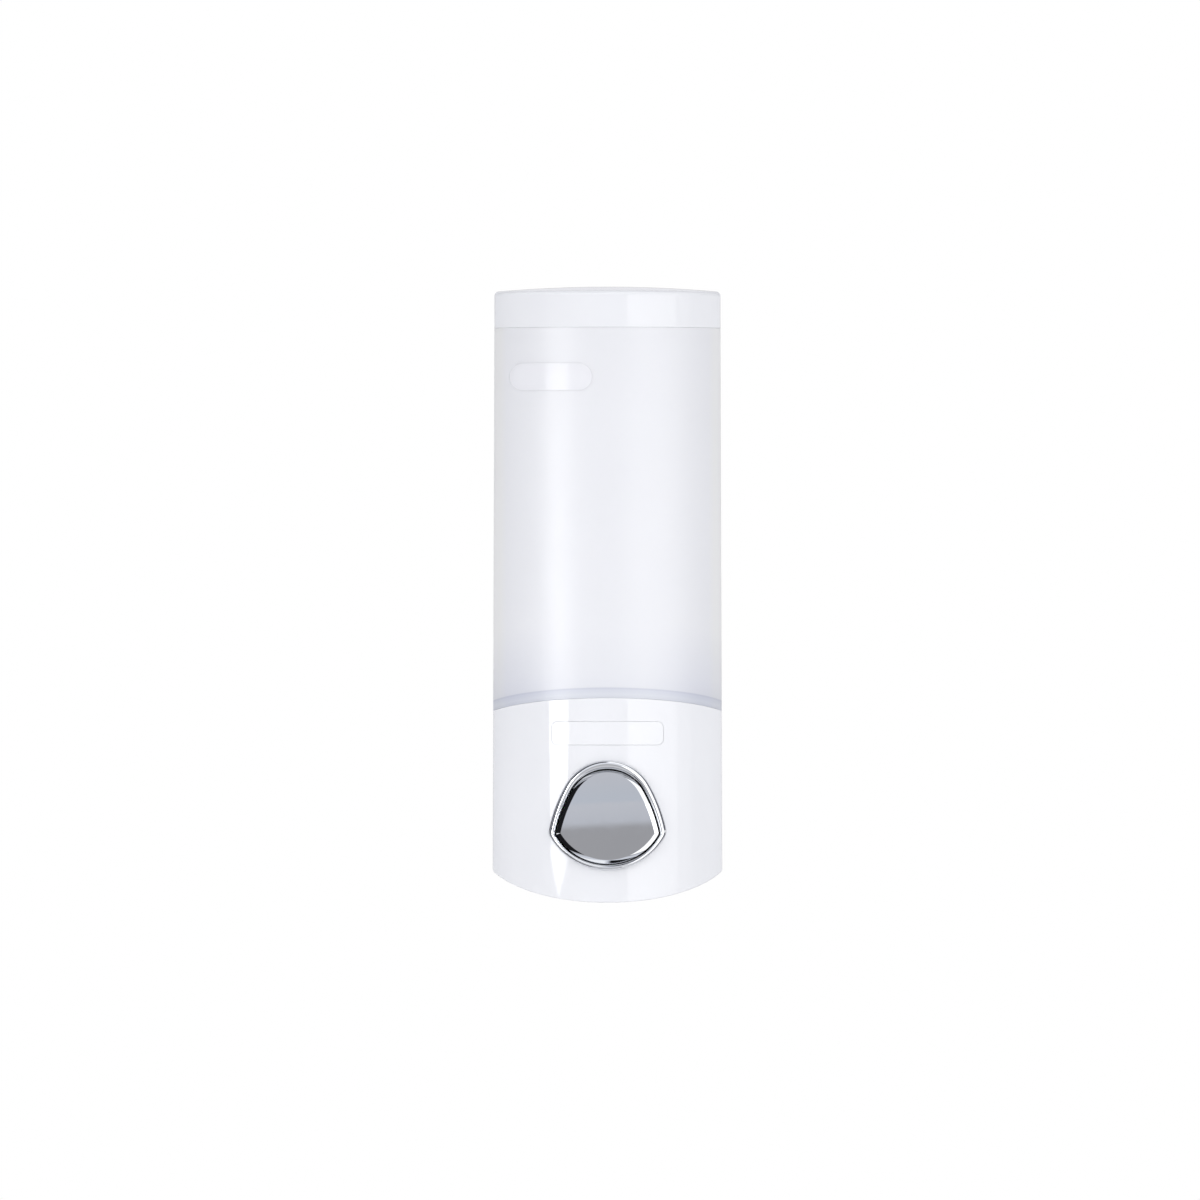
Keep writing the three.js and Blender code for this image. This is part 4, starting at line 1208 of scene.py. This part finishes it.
def make_nozzle():
    """A spout that goes over the outlet tube and carries the outlet spring on a ledge."""
    low, high = box_mm("outlet_nozzle")
    outer, inner, neck, tip, bore = high.x, 6.3, 4.4, 4.0, 1.7          # radii
    chamber, shoulder = OUTLET["chamber"], OUTLET["end"] - GAP
    neck_z, ledge, cone_top = low.z + 2.6, low.z + 4, low.z + 4.6
    start = (bore, low.z + 2, 0)
    nozzle = turned("soap_nozzle", [
        start, (bore, low.z, 0.2), (tip, low.z, 0.7), (neck, neck_z, 1.2), (outer, cone_top, 1.2),
        (outer, high.z, 0.3), (inner, high.z, 0.3), (inner, shoulder, 0.2), (chamber, shoulder, 0.2),
        (chamber, ledge, 0.2), (bore, ledge, 0.2), start,
    ], SOAP_WAY, "Z")
    place(nozzle, "dispenser", nozzle_white, "outlet_nozzle")


# ---------------------------------------------------------------- studio

CARD_DISTANCE = 500.0


def mirrored_at(x, distance=CARD_DISTANCE):
    """Where the round front mirrors a level view ray that meets it at x."""
    angle = math.asin(x / FRONT_RADIUS)
    start = Vector((x, FRONT_CENTRE_Y - FRONT_RADIUS * math.cos(angle), 0))
    return start + distance * Vector((math.sin(2 * angle), -math.cos(2 * angle), 0))


def emitter(name, corners, strength):
    """A bright card that lights the object and shows in its gloss, but not to the camera."""
    bm = bmesh.new()
    bm.faces.new([bm.verts.new(corner) for corner in corners])
    card = new_object(name, bm)
    material = new_material(name)
    nodes = Nodes(material.node_tree)
    nodes.tree.nodes.clear()
    light = nodes.add("ShaderNodeEmission")
    light.inputs["Color"].default_value = (1, 1, 1, 1)
    light.inputs["Strength"].default_value = strength
    nodes.link(light.outputs[0], nodes.add("ShaderNodeOutputMaterial").inputs["Surface"])
    card.data.materials.append(material)
    card.visible_camera = False
    card.visible_shadow = False


def upright_card(name, x_start, x_end, z_low, z_high, strength, taper=None):
    """A card that the front mirrors between two places across it.

    A taper is the height where the card begins to close, its two edges there, and its point below.
    """
    a, b = mirrored_at(x_start), mirrored_at(x_end)
    corners = [(a.x, a.y, z_high), (b.x, b.y, z_high)]
    if taper:
        taper_z, left, right, point = taper
        c, d, tip = mirrored_at(right), mirrored_at(left), mirrored_at(point)
        corners += [(c.x, c.y, taper_z), (tip.x, tip.y, z_low), (d.x, d.y, taper_z)]
    else:
        corners += [(b.x, b.y, z_low), (a.x, a.y, z_low)]
    emitter(name, corners, strength)


def area_light(name, location, target, size, power):
    """A lamp that lights the object but isn't seen in its gloss."""
    data = bpy.data.lights.new(name, "AREA")
    data.shape = "RECTANGLE"
    data.size, data.size_y = size
    data.energy = power
    lamp = bpy.data.objects.new(name, data)
    bpy.context.scene.collection.objects.link(lamp)
    lamp.visible_glossy = False
    lamp.location = location
    lamp.rotation_euler = (Vector(target) - Vector(location)).to_track_quat("-Z", "Y").to_euler()


def room_light(nodes, x, z):
    """What lights the object and is mirrored by its front: soft grey, lighter to the right."""
    across = nodes.graded(x, -1, 1, [
        (0.0, 0.69), (0.3, 0.69), (0.5, 0.58), (0.8, 0.66), (0.95, 0.88), (1.0, 0.96),
    ])
    tilted = nodes.maths("MULTIPLY_ADD", x, -0.14, z)
    height = nodes.graded(tilted, -0.1, 0.1, [
        (0.0, (0.69, 0.69, 0.72)), (0.30, (0.68, 0.68, 0.71)), (0.35, (1.0, 1.03, 1.12)),
        (0.50, (1.07, 1.09, 1.17)), (0.52, (0.98, 1.04, 1.15)), (0.72, (1.05, 1.07, 1.15)),
        (1.0, (1.08, 1.08, 1.1)),
    ])
    return nodes.product(across, height)


def band(nodes, value, low, high, soft):
    """1 between two ends of a value, and 0 outside them."""
    edge = soft / (high - low + 2 * soft)
    return nodes.graded(value, low - soft, high + soft, [
        (0.0, 0.0), (edge, 1.0), (1 - edge, 1.0), (1.0, 0.0),
    ])


def far_room(nodes, x, y, z):
    """What the gloss mirrors beside and behind the front: a ceiling, a floor and the walls between."""
    above = nodes.graded(z, -0.05, 0.05, [(0.0, 0.0), (1.0, 1.0)])
    ceiling = nodes.graded(y, -1, 1, [
        (0.0, (0.92, 0.94, 1.0)), (0.32, (0.92, 0.94, 1.0)), (0.36, (0.42, 0.43, 0.48)),
        (0.58, (0.36, 0.37, 0.41)), (0.64, (0.10, 0.10, 0.11)), (0.90, (0.10, 0.10, 0.11)),
        (0.95, (0.8, 0.8, 0.84)),
    ])
    ground = nodes.graded(y, -1, 1, [
        (0.0, (0.66, 0.66, 0.68)), (0.36, (0.70, 0.71, 0.74)), (0.42, (0.30, 0.30, 0.32)),
        (1.0, (0.12, 0.12, 0.13)),
    ])
    beside = nodes.graded(x, -1, 1, [
        (0.0, 0.25), (0.15, 0.30), (0.25, 0.6), (0.5, 0.6), (0.85, 0.75), (1.0, 0.95),
    ])
    level = band(nodes, z, -0.06, 0.06, 0.02)
    return nodes.mixed(level, nodes.mixed(above, ground, ceiling), beside)


def card_ring(nodes, x, y, z, around):
    """A ring of cards beside the object, black at the left and white at the right, for the chrome."""
    fade_in, fade_out = [(0.0, 0.0), (1.0, 1.0)], [(0.0, 1.0), (1.0, 0.0)]
    black, white, lit = (0.012, 0.012, 0.014, 1), (1.35, 1.35, 1.35, 1), (1.3, 1.3, 1.3, 1)
    soft = 0.06
    below = nodes.maths("MAXIMUM", nodes.maths("MULTIPLY", z, -0.36), 0)
    right_side = nodes.maths("SUBTRACT", x, below)
    left_side = nodes.maths("SUBTRACT", nodes.maths("MULTIPLY", x, -1), below)
    corner_gap = nodes.product(band(nodes, z, -0.36, -0.12, 0.02), nodes.graded(x, -0.74, -0.70, fade_out))
    black_card = nodes.mixed(corner_gap, black, lit)
    cards = nodes.mixed(nodes.graded(left_side, 0, soft, fade_in), around, black_card)
    cards = nodes.mixed(nodes.graded(right_side, 0, soft, fade_in), cards, white)
    return nodes.mixed(band(nodes, y, -0.50, -0.14, 0.03), around, cards)


def make_world():
    """White to the camera, a soft grey room as light, and the same room with cards in the gloss."""
    world = bpy.data.worlds.new("studio")
    bpy.context.scene.world = world
    world.use_nodes = True
    nodes = Nodes(world.node_tree)
    nodes.tree.nodes.clear()
    x, y, z = nodes.split(nodes.add("ShaderNodeTexCoord").outputs["Generated"])
    light = room_light(nodes, x, z)
    mirrored = card_ring(nodes, x, y, z, far_room(nodes, x, y, z))
    ahead = nodes.graded(y, -0.96, -0.90, [(0.0, 1.0), (1.0, 0.0)])
    path = nodes.add("ShaderNodeLightPath")
    room = nodes.add("ShaderNodeBackground")
    nodes.link(
        nodes.mixed(path.outputs["Is Glossy Ray"], light, nodes.mixed(ahead, mirrored, light)),
        room.inputs["Color"],
    )
    white = nodes.add("ShaderNodeBackground")
    white.inputs["Color"].default_value = (1, 1, 1, 1)
    mix = nodes.add("ShaderNodeMixShader")
    nodes.link(path.outputs["Is Camera Ray"], mix.inputs["Fac"])
    nodes.link(room.outputs[0], mix.inputs[1])
    nodes.link(white.outputs[0], mix.inputs[2])
    nodes.link(mix.outputs[0], nodes.add("ShaderNodeOutputWorld").inputs["Surface"])


def make_floor():
    """A plain pale floor well below the object."""
    radius, middle_y, height = 1100.0, -30, -260.0
    bm = bmesh.new()
    rim = arc_points(0, middle_y, radius, 0, 2 * math.pi, 64)[:-1]
    bm.faces.new([bm.verts.new((x, y, height)) for x, y in rim])
    floor = new_object("floor", bm)
    material = new_material("pale_floor")
    nodes = Surface(material)
    tone = nodes.ramp(nodes.noise(6, detail=3), [(0.3, (0.90, 0.90, 0.90)), (0.7, (0.93, 0.93, 0.93))])
    nodes.link(tone, nodes.shader.inputs["Base Color"])
    nodes.set(Roughness=0.8)
    floor.data.materials.append(material)
    floor.visible_glossy = False


def make_studio():
    make_world()
    make_floor()
    upright_card("softbox_left", -20.2, -13.0, -109, 86, 6.2, taper=(-95, -18.4, -12.8, -15.7))
    upright_card("card_right", 6.6, 22.7, -125, 125, 2.3)
    area_light("top_light", (0.25, -0.5, 1.1), (0, -0.03, 0), (0.9, 0.9), 4)
    area_light("fill_left", (-1.0, -0.9, 0.3), (0, -0.03, 0), (0.8, 1.2), 2)


def make_camera():
    """A long lens, level and square to the wall, as the product is shown."""
    distance, picture, sensor = 6.0, 0.3974, 36.0
    shift_x, shift_z = -0.00248, -0.00199       # of the picture's middle, from the object's
    data = bpy.data.cameras.new("camera")
    data.sensor_width = sensor
    data.lens = sensor * distance / picture
    data.clip_end = 50
    camera = bpy.data.objects.new("camera", data)
    bpy.context.scene.collection.objects.link(camera)
    camera.location = (shift_x, -distance + FRONT_Y * MM, shift_z)
    camera.rotation_euler = (math.pi / 2, 0, 0)
    bpy.context.scene.camera = camera
    bpy.context.scene.view_settings.view_transform = "Standard"


# ---------------------------------------------------------------- build

make_camera()
make_studio()
make_lid()
make_tank()
make_badge()
make_housing()
make_label()
make_bezel()
make_button_cap()
make_carrier()
make_frame()
make_wall_plate()
make_pad("foam_pad_upper")
make_pad("foam_pad_lower")
for screw_node in ("tank_screw", "housing_screw", "pump_screw"):
    for hand in ("left", "right"):
        make_screw(f"{screw_node}_{hand}")
make_springs()
make_pump_body()
make_collar()
make_piston()
make_piston_seal()
make_tank_seal()
make_inlet_valve()
make_outlet_ball()
make_nozzle()
